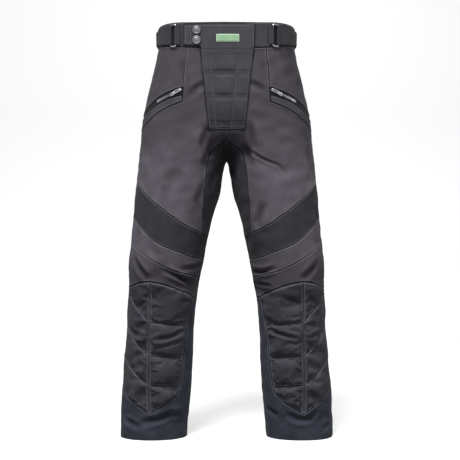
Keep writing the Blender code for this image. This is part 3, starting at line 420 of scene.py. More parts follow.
# Point of the cloth's outer face: a section is two quarter curves x = c + a sin^e(q) and
# y = m + b cos^e(q) that meet on the ridge line, and the inner one sinks into the crotch seam.
def clothPoint(across, drop, lift=0.0, side=None):
    across, drop = np.broadcast_arrays(np.asarray(across, float), np.asarray(drop, float))
    rise = np.asarray(lift, float) + (0 if side is None else clothRise(across, drop, side))
    size = sectionAt(drop)
    across = np.round(across, 9)
    flip = np.where((across < 0) | (across > 2), -1.0, 1.0)
    across = np.where(across < 0, -across, np.where(across > 2, 4 - across, across))
    rear = across > 1
    share = np.where(rear, 2 - across, across)
    far = np.where(rear, size["back"], size["front"])
    facing = np.where(rear, 1.0, -1.0)
    top = np.where(rear, valleyTopBack, valleyTopFront)
    reach = np.clip((drop - top) / (crotchDrop - top), 0, 1)
    sunk = (1 - reach**valleyPower) ** (1 / valleyPower)
    sunk += (smoothStep(-reach, -1, 0) - sunk) * smoothStep(share, 0, saddleShare)
    seam = size["inseam"] + (far - size["inseam"]) * sunk
    power = 2 / squareness
    innerTurn = np.clip(share / size["split"], 0, 1) * math.pi / 2
    outerTurn = np.clip((share - size["split"]) / (1 - size["split"]), 0, 1) * math.pi / 2
    inside = share < size["split"]
    innerA, innerB = size["ridge"] - size["inner"], np.abs(far - seam)
    outerA, outerB = size["side"] - size["ridge"], np.abs(far - size["middle"])
    cosIn, sinIn = np.abs(np.cos(innerTurn)), np.abs(np.sin(innerTurn))
    cosOut, sinOut = np.abs(np.cos(outerTurn)), np.abs(np.sin(outerTurn))
    innerX, outerX = size["ridge"] - innerA * cosIn**power, size["ridge"] + outerA * sinOut**power
    innerY = seam + (far - seam) * sinIn**power
    outerY = size["middle"] + (far - size["middle"]) * cosOut**power
    flat = np.clip(1 - innerB / 25, 0, 1)
    x, y = np.where(inside, innerX, outerX), np.where(inside, innerY, outerY)
    normalX = np.where(inside, -innerB * cosIn ** (2 - power), outerB * sinOut ** (2 - power))
    normalIn = innerA * (sinIn ** (2 - power) + flat)
    normalY = facing * np.where(inside, normalIn, outerA * cosOut ** (2 - power))
    length = np.hypot(normalX, normalY)
    nearMiddle = np.where(inside & ~rear, (1 - (x / size["ridge"]) ** 2) ** 2, 0)
    fade = smoothStep(-drop, -valleyTopFront, 0)
    y = y - frontCrown * nearMiddle * fade
    points = np.stack([flip * x, y, -drop], -1)
    normals = np.stack([flip * normalX / length, normalY / length, 0 * x], -1)
    return points + normals * np.broadcast_to(rise, x.shape)[..., None], normals


def curvePlaces(places, count):
    places = np.array(places, float)
    steps = np.hypot(np.diff(places[:, 0]) * halfGirth, np.diff(places[:, 1]))
    length = np.concatenate([[0], np.cumsum(steps)])
    at = np.linspace(0, length[-1], count * fine + 1)
    return np.stack([through(length, places[:, 0], at), through(length, places[:, 1], at)], -1)


def straightPlaces(start, end, count):
    return np.linspace(start, end, count * fine + 1)


def joinPlaces(*parts):
    return np.concatenate([parts[0]] + [part[1:] for part in parts[1:]])


# Places between four edges: the ruled patches of both pairs of edges less that of the corners.
def patchPlaces(top, bottom, left, right):
    u = np.linspace(0, 1, len(top))[None, :, None]
    v = np.linspace(0, 1, len(left))[:, None, None]
    sideways = (1 - u) * left[:, None] + u * right[:, None]
    downwards = (1 - v) * top[None] + v * bottom[None]
    corners = (1 - v) * ((1 - u) * top[0] + u * top[-1])
    corners = corners + v * ((1 - u) * bottom[0] + u * bottom[-1])
    return sideways + downwards - corners


def betweenPlaces(lines, rows):
    grid = [lines[0][None]]
    for upper, lower, count in zip(lines, lines[1:], rows):
        steps = np.arange(1, count * fine + 1)[:, None, None] / (count * fine)
        grid.append(upper[None] * (1 - steps) + lower[None] * steps)
    return np.concatenate(grid)


edgeShares = np.array((0.16, 0.34, 0.56, 0.78))


# More rows on both sides of the given lines of a grid, where the cloth turns into a seam.
def packRows(grid, lines):
    rows, marks = [grid[0]], []
    for r in range(len(grid)):
        if r in lines:
            marks.append(len(rows) - 1)
        if r == len(grid) - 1:
            break
        shares = edgeShares if r in lines else 1 - edgeShares[::-1] if r + 1 in lines else ()
        rows += [grid[r] * (1 - s) + grid[r + 1] * s for s in shares] + [grid[r + 1]]
    return np.array(rows), marks


def linesOf(grid, rowLines, colLines):
    return sorted({0, len(grid) - 1, *rowLines}), sorted({0, grid.shape[1] - 1, *colLines})


def packGrid(grid, rowLines=(), colLines=()):
    rowLines, colLines = linesOf(grid, rowLines, colLines)
    grid, rowMarks = packRows(grid, rowLines)
    grid, colMarks = packRows(grid.transpose(1, 0, 2), colLines)
    return grid.transpose(1, 0, 2), rowMarks, colMarks


def pointsOf(places, lift=0.0, side=None):
    return clothPoint(places[..., 0], places[..., 1], lift, side)[0]


# Distances on the cloth from the first column of a grid to each place, row by row
def distanceRound(points):
    steps = np.linalg.norm(np.diff(points, axis=1), axis=-1)
    return np.concatenate([np.zeros((len(points), 1)), np.cumsum(steps, axis=1)], axis=1)


# Distances on the cloth from every place of a grid to its marked rows and columns
def distancesTo(points, rowMarks, colMarks):
    down, beside = distanceRound(points.transpose(1, 0, 2)).T, distanceRound(points)
    rows = np.stack([np.abs(down - down[mark][None]) for mark in rowMarks])
    cols = np.stack([np.abs(beside - beside[:, mark][:, None]) for mark in colMarks])
    return rows, cols


# A packed grid with its distances to its edges and lines
def packedGrid(places, rowLines=(), colLines=()):
    grid, rowMarks, colMarks = packGrid(places, rowLines, colLines)
    return grid, *distancesTo(pointsOf(grid), rowMarks, colMarks)


# Where cloth turns into a seam: it drops at the edge and bulges a little beside it.
def seamRoll(distance, depth=0.9, bulge=0.6):
    return -1.5 * depth * bell(distance, 1.3) + bulge * bell(distance - 3.8, 2.0)


# Painted shade in a seam's groove, and how much lighter the bulge beside it is: partly wear, partly
# painted highlight
def seamShade(distance, depth=1.0, worn=0.35):
    return depth * bell(distance, 1.5) - worn * bell(distance - 3.4, 1.3)


# Faces between the rows and columns of a grid of point numbers, also from the last to the first
# where it is closed
def gridFaces(index, closedRows=0, closedCols=0):
    index = np.pad(index, ((0, closedRows), (0, closedCols)), "wrap")
    corners = (index[:-1, :-1], index[1:, :-1], index[1:, 1:], index[:-1, 1:])
    return np.stack(corners, -1).reshape(-1, 4)


def numbersOf(points):
    return np.arange(points.shape[0] * points.shape[1]).reshape(points.shape[:2])


# A mesh of points in millimetres. A corner that a face names twice counts once. The left half
# is the right one mirrored, with its faces turned round.
def makeMesh(name, points, faces, side=None, uvs=None, seam=None, smoothAngle=50):
    faces = faces.tolist() if isinstance(faces, np.ndarray) else faces
    if side == "left":
        points, faces = points * (-1, 1, 1), [face[::-1] for face in faces]
    mesh = bpy.data.meshes.new(name)
    mesh.from_pydata((points * mm).tolist(), [], [tuple(dict.fromkeys(face)) for face in faces])
    if uvs is not None:
        # The 'seam' attribute carries painted shade, and lighter marks that are partly wear and
        # partly painted highlight; the cloth's colour is scaled by it
        attribute = mesh.attributes.new("seam", "FLOAT", "POINT")
        attribute.data.foreach_set("value", seam.astype(np.float32))
        layer = mesh.uv_layers.new(name="cloth")
        corner = np.empty(len(mesh.loops), np.int32)
        mesh.loops.foreach_get("vertex_index", corner)
        layer.data.foreach_set("uv", (uvs * mm)[corner].astype(np.float32).ravel())
    mesh.shade_smooth()
    mesh.set_sharp_from_angle(angle=math.radians(smoothAngle))
    piece = bpy.data.objects.new(name, mesh)
    bpy.context.collection.objects.link(piece)
    return piece


# A closed shell of cloth over one or more grids of places, joined where they share places. Each
# grid comes with the height of its relief; the inner face follows the folds alone.
def clothShell(name, grids, reliefs, paintedShades, side, lift, thickness, foldSide=None, shift=None):
    places = np.concatenate([grid.reshape(-1, 2) for grid in grids])
    heights = np.concatenate([relief.ravel() for relief in reliefs])
    shade = np.concatenate([seam.ravel() for seam in paintedShades])
    uvs = []
    for grid in grids:
        beside = distanceRound(pointsOf(grid))
        uvs.append(placesOf(beside - beside[:, -1:] / 2, -grid[..., 1]).reshape(-1, 2))
    key = np.round(places, 5 if len(grids) == 1 else 4)
    _, first, ids = np.unique(key, axis=0, return_index=True, return_inverse=True)
    ids = ids.ravel()
    quads, start = [], 0
    for grid in grids:
        quads.append(gridFaces(ids[start + numbersOf(grid)]))
        start += grid.shape[0] * grid.shape[1]
    quads = np.concatenate(quads)
    places, heights, uvs = places[first], heights[first], np.concatenate(uvs)[first]
    count = len(places)
    edges = np.concatenate([quads[:, [k, (k + 1) % 4]] for k in range(4)]).astype(np.int64)
    opposite = edges[:, 1] * count + edges[:, 0]
    borders = edges[~np.isin(edges[:, 0] * count + edges[:, 1], opposite)]
    base, normals = clothPoint(places[:, 0], places[:, 1], lift, foldSide)
    outer = base + normals * heights[:, None]
    if shift is not None:
        outer += shift.reshape(-1, 3)[first]
    rims = np.concatenate([borders[:, ::-1], borders + count], 1)
    shell = np.concatenate([quads, quads[:, ::-1] + count, rims])
    shade = shade[first]
    # Painted shade and light of the folds and hollows go on top of the seams' painted shade
    if foldSide:
        shade = shade + paintedClothShade(places[:, 0], places[:, 1], foldSide)
    points = np.concatenate([outer, base - normals * thickness])
    return makeMesh(name, points, shell, side, np.tile(uvs, (2, 1)), np.tile(shade, 2))


def hexColour(text):
    channels = [int(text[k:k + 2], 16) / 255 for k in (1, 3, 5)]
    return (*[c / 12.92 if c <= 0.04045 else ((c + 0.055) / 1.055) ** 2.4 for c in channels], 1.0)


# Adds a node, sets its properties and unlinked inputs, and links the rest to other nodes.
def addNode(tree, kind, settings=None, links=None):
    made = tree.nodes.new(kind)
    for key, value in (settings or {}).items():
        if isinstance(key, int) or key in made.inputs:
            made.inputs[key].default_value = value
        else:
            setattr(made, key, value)
    for key, socket in (links or {}).items():
        tree.links.new(socket, made.inputs[key])
    return made


def newMaterial(name):
    made = bpy.data.materials.new(name)
    made.use_nodes = True
    made.node_tree.nodes.clear()
    return made, made.node_tree


def finishMaterial(tree, settings, links):
    shader = addNode(tree, "ShaderNodeBsdfPrincipled", settings, links)
    addNode(tree, "ShaderNodeOutputMaterial", {}, {"Surface": shader.outputs[0]})


waveScale = 0.31416  # of a wave texture with one band in each unit
paintedShadeDepth = 0.62  # share of the colour that a full painted shade takes away


# Woven or knitted cloth: two sets of yarns that cross, uneven along their length, so the surface
# looks finely ribbed near by and softly mottled from afar.
def clothMaterial(name, look):
    look = dict(zip(clothColumns, look))
    made, tree = newMaterial(name)
    uv = addNode(tree, "ShaderNodeUVMap", {"uv_map": "cloth"}).outputs[0]
    perUnit = waveScale / (look["yarnMm"] * mm)
    warp, weft = (
        addNode(tree, "ShaderNodeTexWave", {"bands_direction": way, "Scale": scale,
                "Distortion": 0.6, "Detail": 1.0, "Detail Scale": 0.4}, {"Vector": uv})
        for way, scale in (("X", perUnit), ("Y", perUnit * 0.7))
    )
    weave = addNode(tree, "ShaderNodeMath", {"operation": "MAXIMUM"},
                    {0: warp.outputs["Fac"], 1: weft.outputs["Fac"]})
    along = addNode(tree, "ShaderNodeVectorMath", {"operation": "MULTIPLY",
                    1: (*look["streakPerMetre"], 1)}, {0: uv})
    streak = addNode(tree, "ShaderNodeTexNoise", {"Scale": 1.0, "Detail": 3.0, "Roughness": 0.6},
                     {"Vector": along.outputs[0]})
    cloud = addNode(tree, "ShaderNodeTexNoise", {"Scale": 22.0, "Detail": 2.0}, {"Vector": uv})
    tone = addNode(tree, "ShaderNodeMath", {"operation": "MULTIPLY_ADD", 1: 0.7},
                   {0: streak.outputs[0], 2: cloud.outputs[0]})
    tone = addNode(tree, "ShaderNodeMapRange", {"From Min": 0.55, "From Max": 1.15},
                   {"Value": tone.outputs[0]})
    colour = addNode(tree, "ShaderNodeMix", {"data_type": "RGBA", 6: hexColour(look["dark"]),
                     7: hexColour(look["light"])}, {0: tone.outputs[0]})
    # The 'seam' attribute scales the colour: painted shade darkens it, painted highlight lightens
    # it
    seam = addNode(tree, "ShaderNodeAttribute", {"attribute_name": "seam"}).outputs["Fac"]
    shade = addNode(tree, "ShaderNodeMath", {"operation": "MULTIPLY_ADD", 1: -paintedShadeDepth, 2: 1.0},
                    {0: seam})
    colour = addNode(tree, "ShaderNodeVectorMath", {"operation": "SCALE"},
                     {0: colour.outputs[2], "Scale": shade.outputs[0]})
    height = addNode(tree, "ShaderNodeMath", {"operation": "MULTIPLY_ADD", 1: 0.6},
                     {0: streak.outputs[0], 2: weave.outputs[0]})
    bump = addNode(tree, "ShaderNodeBump", {"Strength": look["bump"], "Distance": 0.0004},
                   {"Height": height.outputs[0]})
    finishMaterial(tree, {
        "Roughness": look["roughness"], "Sheen Weight": look["sheen"], "Sheen Roughness": 0.5,
        "Specular IOR Level": look["specular"],
    }, {"Base Color": colour.outputs[0], "Normal": bump.outputs[0]})
    return made


# Metal with fine uneven wear that varies the gloss.
def metalMaterial(name, look):
    made, tree = newMaterial(name)
    where = addNode(tree, "ShaderNodeTexCoord").outputs["Object"]
    wear = addNode(tree, "ShaderNodeTexNoise", {"Scale": 900.0, "Detail": 3.0}, {"Vector": where})
    gloss = addNode(tree, "ShaderNodeMapRange", {"To Min": look["roughness"] - 0.07,
                    "To Max": look["roughness"] + 0.1}, {"Value": wear.outputs[0]})
    finishMaterial(tree, {"Base Color": hexColour(look["colour"]), "Metallic": look["metallic"]},
                   {"Roughness": gloss.outputs[0]})
    return made


clothColumns = ("dark", "light", "yarnMm", "bump", "streakPerMetre", "roughness", "sheen",
                "specular")
clothLooks = {
    # plain woven polyester: matt, with faint upright streaks
    "wovenPolyester": ("#534F57", "#645F67", 0.9, 0.35, (420, 40), 0.82, 0.02, 0.1),
    # knitted stretch cloth: darker and quite dull
    "stretchKnit": ("#302E33", "#403E44", 0.7, 0.45, (500, 160), 0.9, 0.03, 0.1),
    # twill and coarser twill: close, with a slight grain
    "waistTwill": ("#313135", "#3E3D43", 0.8, 0.35, (360, 90), 0.85, 0.02, 0.22),
    "weltTwill": ("#535057", "#66646C", 1.2, 0.6, (420, 160), 0.85, 0.02, 0.1),
    # smooth woven polyester over padding, the shins' bluer one, and the fly's
    "quiltedPolyester": ("#39383F", "#4B4A51", 0.8, 0.3, (420, 60), 0.8, 0.02, 0.1),
    "shinPolyester": ("#2F333D", "#414650", 0.9, 0.3, (420, 40), 0.8, 0.02, 0.1),
    "flyPolyester": ("#333338", "#403F45", 0.9, 0.35, (420, 40), 0.82, 0.02, 0.25),
    # tightly woven label with a paler edge
    "greenLabelWeave": ("#7DA27D", "#90B690", 0.4, 0.2, (900, 900), 0.7, 0.02, 0.3),
    "paleLabelEdge": ("#AAB9A7", "#BBC7B8", 0.4, 0.2, (900, 900), 0.7, 0.02, 0.3),
    # zip tape and strap webbing: ribbed across
    "blackZipTape": ("#1B1B1E", "#26262A", 0.5, 0.4, (300, 900), 0.85, 0.02, 0.25),
    "darkWebbing": ("#27262A", "#36353A", 1.1, 0.8, (260, 600), 0.8, 0.02, 0.3),
    # spun polyester thread: a little glossier than the cloths
    "darkSewingThread": ("#353439", "#3F3E43", 0.3, 0.2, (900, 900), 0.6, 0.02, 0.4),
    "flySewingThread": ("#4A4950", "#56555C", 0.3, 0.2, (900, 900), 0.6, 0.02, 0.4),
    "greySewingThread": ("#75737D", "#87858F", 0.3, 0.2, (900, 900), 0.6, 0.02, 0.4),
}
metalLooks = {
    # drawn steel wire: bright and fairly glossy
    "brushedSteelWire": {"colour": "#B4B4BA", "roughness": 0.28, "metallic": 1.0},
    # blackened pressed caps: dim, with a soft highlight
    "gunmetalSnap": {"colour": "#6E6E73", "roughness": 0.52, "metallic": 0.75},
    # die-cast zip parts and the plated coil: grey and worn
    "darkZipMetal": {"colour": "#A2A2A8", "roughness": 0.42, "metallic": 1.0},
    "nickelZipTeeth": {"colour": "#88888E", "roughness": 0.5, "metallic": 0.8},
}
materials = {name: clothMaterial(name, look) for name, look in clothLooks.items()}
materials.update({name: metalMaterial(name, look) for name, look in metalLooks.items()})
print("stage: materials made")


def dress(piece, material, nodes=(), body="garment"):
    piece.data.materials.clear()
    piece.data.materials.append(materials[material])
    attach(piece, body)
    if nodes:
        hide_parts(*nodes)
    return piece


# Cut size of a panel: its longest row and column on the smooth cloth, and its area.
def declareCloth(piece, grids):
    widest = longest = area = 0.0
    for grid in grids:
        points = pointsOf(grid) * mm
        widest = max(widest, np.linalg.norm(np.diff(points, axis=1), axis=-1).sum(1).max())
        longest += np.linalg.norm(np.diff(points, axis=0), axis=-1).sum(0).max()
        a, b = points[1:, 1:] - points[:-1, :-1], points[1:, :-1] - points[:-1, 1:]
        area += np.linalg.norm(np.cross(a, b), axis=-1).sum() / 2
    flat = (float(widest), float(longest))
    area = float(max(area, 0.3 * flat[0] * flat[1]))
    print("cut of", piece.name, [round(v * 1000) for v in flat], "mm,", round(area, 4), "m2")


def inseamPlaces(start, end, count):
    return straightPlaces((0.0, start), (0.0, end), count)


def sidePlaces(start, end, count):
    return straightPlaces((1.0, start), (1.0, end), count)


def valleyPlaces(start, startDrop, count):
    top = valleyTopBack if start > 1 else valleyTopFront
    first = math.asin(((startDrop - top) / (crotchDrop - top)) ** (valleyPower / 2))
    turns = np.linspace(first, math.pi / 2, count * fine + 1)
    drops = top + (crotchDrop - top) * np.sin(turns) ** (2 / valleyPower)
    drops[0], drops[-1] = startDrop, crotchDrop
    return placesOf(start, drops)


padLines = [joinPlaces(curvePlaces(inner, 5), curvePlaces(outer, 4))
            for inner, outer in zip((padTopInner, *padLinesInner), (padTopOuter, *padLinesOuter))]
padSpineColumn = 5 * fine
flapTopDrop = 283.0  # where the crotch seam comes out under the fly
backValleyDrop = 213.0


def waistPlaces(start, end, count):
    across = np.linspace(start, end, count * fine + 1)
    return placesOf(across, waistSeamDrop(across))


def legPlaces():
    pad = betweenPlaces(padLines, [3] * (len(padLines) - 1))
    thighFoot, bandTopLine = curvePlaces(bandTopInner, 2), curvePlaces(bandTop, 9)
    bandHead = joinPlaces(thighFoot, bandTopLine)
    bandFootLine, yokeLine = curvePlaces(bandFoot, 11), curvePlaces(yokeSeam, 11)
    stripHead = curvePlaces(stripTop, 2)
    stripFoot = straightPlaces((0.0, stripFootDrop), pad[-1, 0], 2)
    vertical = curvePlaces(verticalSeam, 5)
    zipLine, weltLine, weltFootLine = (curvePlaces(line, 6) for line in (zipTop, weltTop, weltFoot))
    yokeWaist = waistPlaces(verticalSeam[0][0], 1, 6)
    frontWaist = waistPlaces(0, verticalSeam[0][0], 9)
    vertical[0] = frontWaist[-1]
    edgeTop = straightPlaces((0.0, flapTopDrop), thighEdge[0], 2)
    edge = curvePlaces(thighEdge, 10)
    centre = straightPlaces((0.0, 66.0), (0.0, flapTopDrop), 6)
    pocketEnd = joinPlaces(straightPlaces(zipLine[0], weltLine[0], 1),
                           straightPlaces(weltLine[0], weltFootLine[0], 1))
    frontSide = sidePlaces(weltFoot[-1][1], bandTop[-1][1], 5)
    crotch = valleyPlaces(0.0, flapTopDrop, 4)
    thighInseam = inseamPlaces(crotchDrop, bandTopInner[0][1], 6)
    padFoot = joinPlaces(stripFoot, pad[-1])
    hem = placesOf(padFoot[:, 0], hemDrop)
    padHead = joinPlaces(stripHead, pad[0])
    hipSide = sidePlaces(yokeWaist[-1, 1], zipTop[-1][1], 5)

    def bothSides(start, end, count):
        inner = inseamPlaces(start[0, 1], end[0, 1], count)
        return inner, sidePlaces(start[-1, 1], end[-1, 1], count)

    bandSides = bothSides(bandHead, bandFootLine, 3)
    upperSides = bothSides(bandFootLine, yokeLine, 2)
    lowerSides = bothSides(yokeLine, padHead, 2)
    hemSides = bothSides(padFoot, hem, 4)
    stripInseam = inseamPlaces(stripTop[0][1], stripFootDrop, 12)
    frontLeft = joinPlaces(centre, edgeTop, edge)
    frontRight = joinPlaces(vertical, pocketEnd, weltFootLine, frontSide)
    innerLeg = joinPlaces(thighInseam, bandSides[0], upperSides[0], lowerSides[0], stripInseam,
                          hemSides[0])
    backInner = placesOf(2.0, innerLeg[:, 1])
    backCrotch = valleyPlaces(2.0, backValleyDrop, 4)
    backWaist = waistPlaces(1, 2, 8)
    pocketSide = sidePlaces(zipTop[-1][1], weltFoot[-1][1], 2)
    side = joinPlaces(hipSide, pocketSide, frontSide, bandSides[1], upperSides[1], lowerSides[1],
                      pad[:, -1], hemSides[1])
    rows = len(side) - len(backInner) - len(backCrotch) + 2
    straight = np.linspace(backWaist[-1], backCrotch[0], rows)
    backEdge = joinPlaces(straight, backCrotch, backInner)
    return {
        "hip_yoke": patchPlaces(yokeWaist, zipLine, vertical, hipSide),
        "pocket_zip": betweenPlaces([zipLine, weltLine], [1]),
        "pocket_welt": betweenPlaces([weltLine, weltFootLine], [1]),
        "front_panel": patchPlaces(frontWaist, bandTopLine, frontLeft, frontRight),
        "inner_thigh": patchPlaces(edgeTop, thighFoot, joinPlaces(crotch, thighInseam), edge),
        "thigh_band": patchPlaces(bandHead, bandFootLine, *bandSides),
        "knee_yoke_upper": patchPlaces(bandFootLine, yokeLine, *upperSides),
        "knee_yoke_lower": patchPlaces(yokeLine, padHead, *lowerSides),
        "knee_pad": pad,
        "strip": patchPlaces(stripHead, stripFoot, stripInseam, pad[:, 0]),
        "hem": patchPlaces(padFoot, hem, *hemSides),
        "back_panel": patchPlaces(backWaist, placesOf(backWaist[:, 0], hemDrop), side, backEdge),
        "waist": joinPlaces(frontWaist, yokeWaist),
    }


legGrids = legPlaces()

# Plain panels of each leg. roll is how deep the seams around them lie, and the last column how much
# lighter the bulge beside them is: partly wear, partly painted highlight.
panelColumns = ("material", "slot", "lift", "thickness", "roll", "worn")
panelSettings = {
    "hip_yoke": ("wovenPolyester", "mainCloth", 0.0, 1.6, 0.9, 0.3),
    "pocket_zip": ("blackZipTape", "zipTape", -0.8, 1.0, 0.3, 0.0),
    "pocket_welt": ("weltTwill", "waistCloth", 0.6, 1.6, 0.8, 0.25),
    "front_panel": ("wovenPolyester", "mainCloth", 0.0, 1.6, 0.9, 0.18),
    "inner_thigh": ("stretchKnit", "stretchCloth", 0.0, 1.6, 1.1, 0.0),
    "thigh_band": ("stretchKnit", "stretchCloth", 0.0, 1.6, 1.1, 0.3),
    "knee_yoke_upper": ("wovenPolyester", "mainCloth", 0.0, 1.6, 0.9, 0.3),
    "knee_yoke_lower": ("wovenPolyester", "mainCloth", 0.0, 1.6, 0.9, 0.3),
    "back_panel": ("wovenPolyester", "mainCloth", 0.0, 1.6, 0.9, 0.25),
}
innerThighShadeEase = 0.4  # less painted shade on the stretch cloth of the inner thigh
hipSeam = {"across": 0.39, "reach": 0.05, "foot": 160, "left": 0.3, "right": 0.6}  # pressed open; its relief and its painted shade are scaled down on each side
for side in sides:
    for panelName, settings in panelSettings.items():
        spec = dict(zip(panelColumns, settings))
        grid, rows, cols = packedGrid(legGrids[panelName])
        edges = [rows[0], cols[0], cols[-1]] + ([] if panelName == "back_panel" else [rows[-1]])
        nearest = np.min(edges, axis=0)
        pressed = np.abs(grid[..., 0] - hipSeam["across"]) < hipSeam["reach"]
        pressed &= grid[..., 1] < hipSeam["foot"]
        depth = np.where(pressed, hipSeam[side], 1.0)
        relief = seamRoll(nearest, spec["roll"]) * depth
        shade = seamShade(nearest, 1.0, spec["worn"]) * depth
        shade -= innerThighShadeEase if panelName == "inner_thigh" else 0
        piece = clothShell(f"{panelName}_cloth_{side}", [grid], [relief], [shade], side,
                           spec["lift"], spec["thickness"], side)
        dress(piece, spec["material"], [f"{panelName}_{side}"])
        declareCloth(piece, [grid])
print("stage: leg panels made")

# Inner strip and hem part of the lower leg, in one piece
shinSettings = {"lift": 0.0, "thickness": 1.6, "roll": 0.9}
for side in sides:
    strip, rows, cols = packedGrid(legGrids["strip"])
    stripEdge = np.min([rows[0], cols[0], cols[-1]], axis=0)
    hem, rows, cols = packedGrid(legGrids["hem"], (), (2 * fine,))
    underPad = np.where(np.arange(hem.shape[1]) >= cols[1][0].argmin(), rows[0], 1e3)
    hemEdge = np.min([underPad, cols[0], cols[-1]], axis=0)
    reliefs = [seamRoll(edge, shinSettings["roll"]) for edge in (stripEdge, hemEdge)]
    shades = [seamShade(edge) for edge in (stripEdge, hemEdge)]
    piece = clothShell(f"shin_front_cloth_{side}", [strip, hem], reliefs, shades, side,
                       shinSettings["lift"], shinSettings["thickness"], side)
    dress(piece, "shinPolyester", [f"shin_front_{side}"])
    declareCloth(piece, [strip, hem])
print("stage: shin fronts made")


# Height of quilting, d being the distance from a sewn line: a groove at the stitches on both
# sides of the line, a slight ridge between them, and 1 - (1 - d / w)^p beyond, over each cell.
def quiltHeight(rows, cols, look):
    total = 1.0
    groove = 0.0
    for distance, flat in ((rows.min(0), look["rowFlat"]), (cols.min(0), look["colFlat"])):
        share = np.clip((distance - flat) / look["width"], 0, 1)
        total = total * (1 - (1 - share) ** look["power"])
        ridge = look["ridge"] * np.clip(1 - (distance / flat) ** 2, 0, 1)
        groove = np.maximum(groove, bell(distance - flat, 1.0) * look["groove"] - ridge)
    return look["raise"] * total - groove


puffCloth = {"quality": 6, "mass": 0.15, "tension_stiffness": 12, "compression_stiffness": 12,
             "shear_stiffness": 4, "air_damping": 4, "use_pressure": True,
             "vertex_group_mass": "held"}
puffFrames = 20


# Filling: the outer cloth of a pad is blown up a little between its sewn lines, with the cloth
# held along them, so that it puckers there. Gives the shift of every grid point.
def puffShift(name, points, held, look):
    start = points.reshape(-1, 3)
    piece = makeMesh(name, start, gridFaces(numbersOf(points)))
    group = piece.vertex_groups.new(name="held")
    group.add(np.flatnonzero(held.ravel()).tolist(), 1.0, "REPLACE")
    cloth = piece.modifiers.new("puff", "CLOTH")
    for key, value in puffCloth.items():
        setattr(cloth.settings, key, value)
    cloth.settings.bending_stiffness = look["bending"]
    cloth.settings.uniform_pressure_force = look["pressure"]
    cloth.settings.shrink_min = -look["slack"]
    cloth.settings.effector_weights.gravity = 0
    cloth.point_cache.frame_start = 1
    cloth.point_cache.frame_end = puffFrames
    scene = bpy.context.scene
    for frameNumber in range(1, puffFrames + 1):
        scene.frame_set(frameNumber)
    puffed = piece.evaluated_get(bpy.context.evaluated_depsgraph_get()).to_mesh()
    after = np.empty(len(puffed.vertices) * 3)
    puffed.vertices.foreach_get("co", after)
    bpy.data.objects.remove(piece)
    scene.frame_set(1)
    shift = after.reshape(-1, 3) / mm - start
    size = np.linalg.norm(shift, axis=1, keepdims=True)
    shift = shift * np.minimum(1, look["cap"] / np.maximum(size, 1e-9))
    print("stage:", name, "puffed by", round(float(size.max()), 1), "mm at most")
    return shift.reshape(points.shape)


# Grid, relief, shift, distances and shade of a quilted pad
def quiltedPad(name, places, rowLines, colLines, lift, side, look):
    rowLines, colLines = linesOf(places, rowLines, colLines)
    points, normals = clothPoint(places[..., 0], places[..., 1], lift, side)
    rows, cols = distancesTo(points, rowLines, colLines)
    start = points + normals * 0.5 * quiltHeight(rows, cols, look)[..., None]
    held = (rows.min(0) < look["rowFlat"] + 0.5) | (cols.min(0) < look["colFlat"] + 0.5)
    both = np.concatenate([places, puffShift(name, start, held, look)], -1)
    both, rowMarks, colMarks = packGrid(both, rowLines, colLines)
    grid, shift = both[..., :2], both[..., 2:]
    rows, cols = distancesTo(pointsOf(grid), rowMarks, colMarks)
    relief = quiltHeight(rows, cols, look) * look["keep"]
    edges = np.min([rows[0], rows[-1], cols[0], cols[-1]], axis=0)
    # Painted shade: dark in the edge seams, in each channel and just above it under the puff; the
    # stitched lines lighter, partly wear and partly painted highlight
    pastRow, pastCol = rows.min(0) - look["rowFlat"], cols.min(0) - look["colFlat"]
    stitched = np.maximum(bell(pastRow, 1.3), bell(pastCol, 1.3))
    above = np.arange(len(grid))[:, None] < np.array(rowMarks)[rows.argmin(0)]
    channel = np.maximum(above * bell(pastRow - 3.0, 2.4), bell(rows.min(0), 1.6))
    shade = seamShade(edges, 1.0, look["worn"]) - look["worn"] * stitched
    shade += look["channelShade"] * channel
    return grid, relief + seamRoll(edges, look["roll"], 0.0), shift, (rows, cols), shade


# Quilted knee pads
kneePad = {"raise": 5.6, "rowFlat": 2.9, "colFlat": 4.3, "width": 13.0, "power": 2.6,
           "ridge": 0.5, "groove": 0.7, "roll": 0.9, "thickness": 1.6, "pressure": 5.0,
           "slack": 0.08, "bending": 0.05, "cap": 7.0, "keep": 0.85, "worn": 0.9,
           "channelShade": 0.55, "sideFlat": 0.95, "sideShares": (0.60, 0.90)}
for side in sides:
    lines = [3 * fine * k for k in range(5)]
    grid, relief, shift, _, shade = quiltedPad(
        f"knee_pad_{side}", legGrids["knee_pad"], lines, [padSpineColumn], 0.0, side, kneePad)
    beside = 1 - kneePad["sideFlat"] * smoothStep(grid[..., 0], *kneePad["sideShares"])
    piece = clothShell(f"knee_pad_cloth_{side}", [grid], [relief * beside], [shade], side, 0.0,
                       kneePad["thickness"], side, shift * beside[..., None])
    dress(piece, "quiltedPolyester", [f"knee_pad_{side}"])
print("stage: knee pads made")

strap = {"top": 9.0, "foot": 56.5, "footMargin": 4.0, "thickness": 1.3, "gap": 0.6,
         "endBehindSide": 70.0, "turnEndX": 164.0, "ringHalf": 6.5, "wire": 1.5,
         "ringX": {"left": 130.0, "right": 121.0}, "loop": 9.0, "widthRows": 22, "bow": 4.0,
         "bowReach": 62.0, "rimShade": 0.75, "slitShade": 1.35, "tabShade": 0.8,
         "tabEndX": {"left": 106.0, "right": 71.0}}
rimSamples = np.linspace(0, 2, 1601)
rimDrop = (strap["top"] + strap["foot"]) / 2
rimLength = lengthAlong(clothPoint(rimSamples, rimDrop)[0])


# Distance along the waistband from the centre front to a place at x
def rimAt(x):
    return float(np.interp(float(acrossAt(x, rimDrop)), rimSamples, rimLength))


def strapFoot(across):
    return np.minimum(strap["foot"], waistSeamDrop(across) - strap["footMargin"])
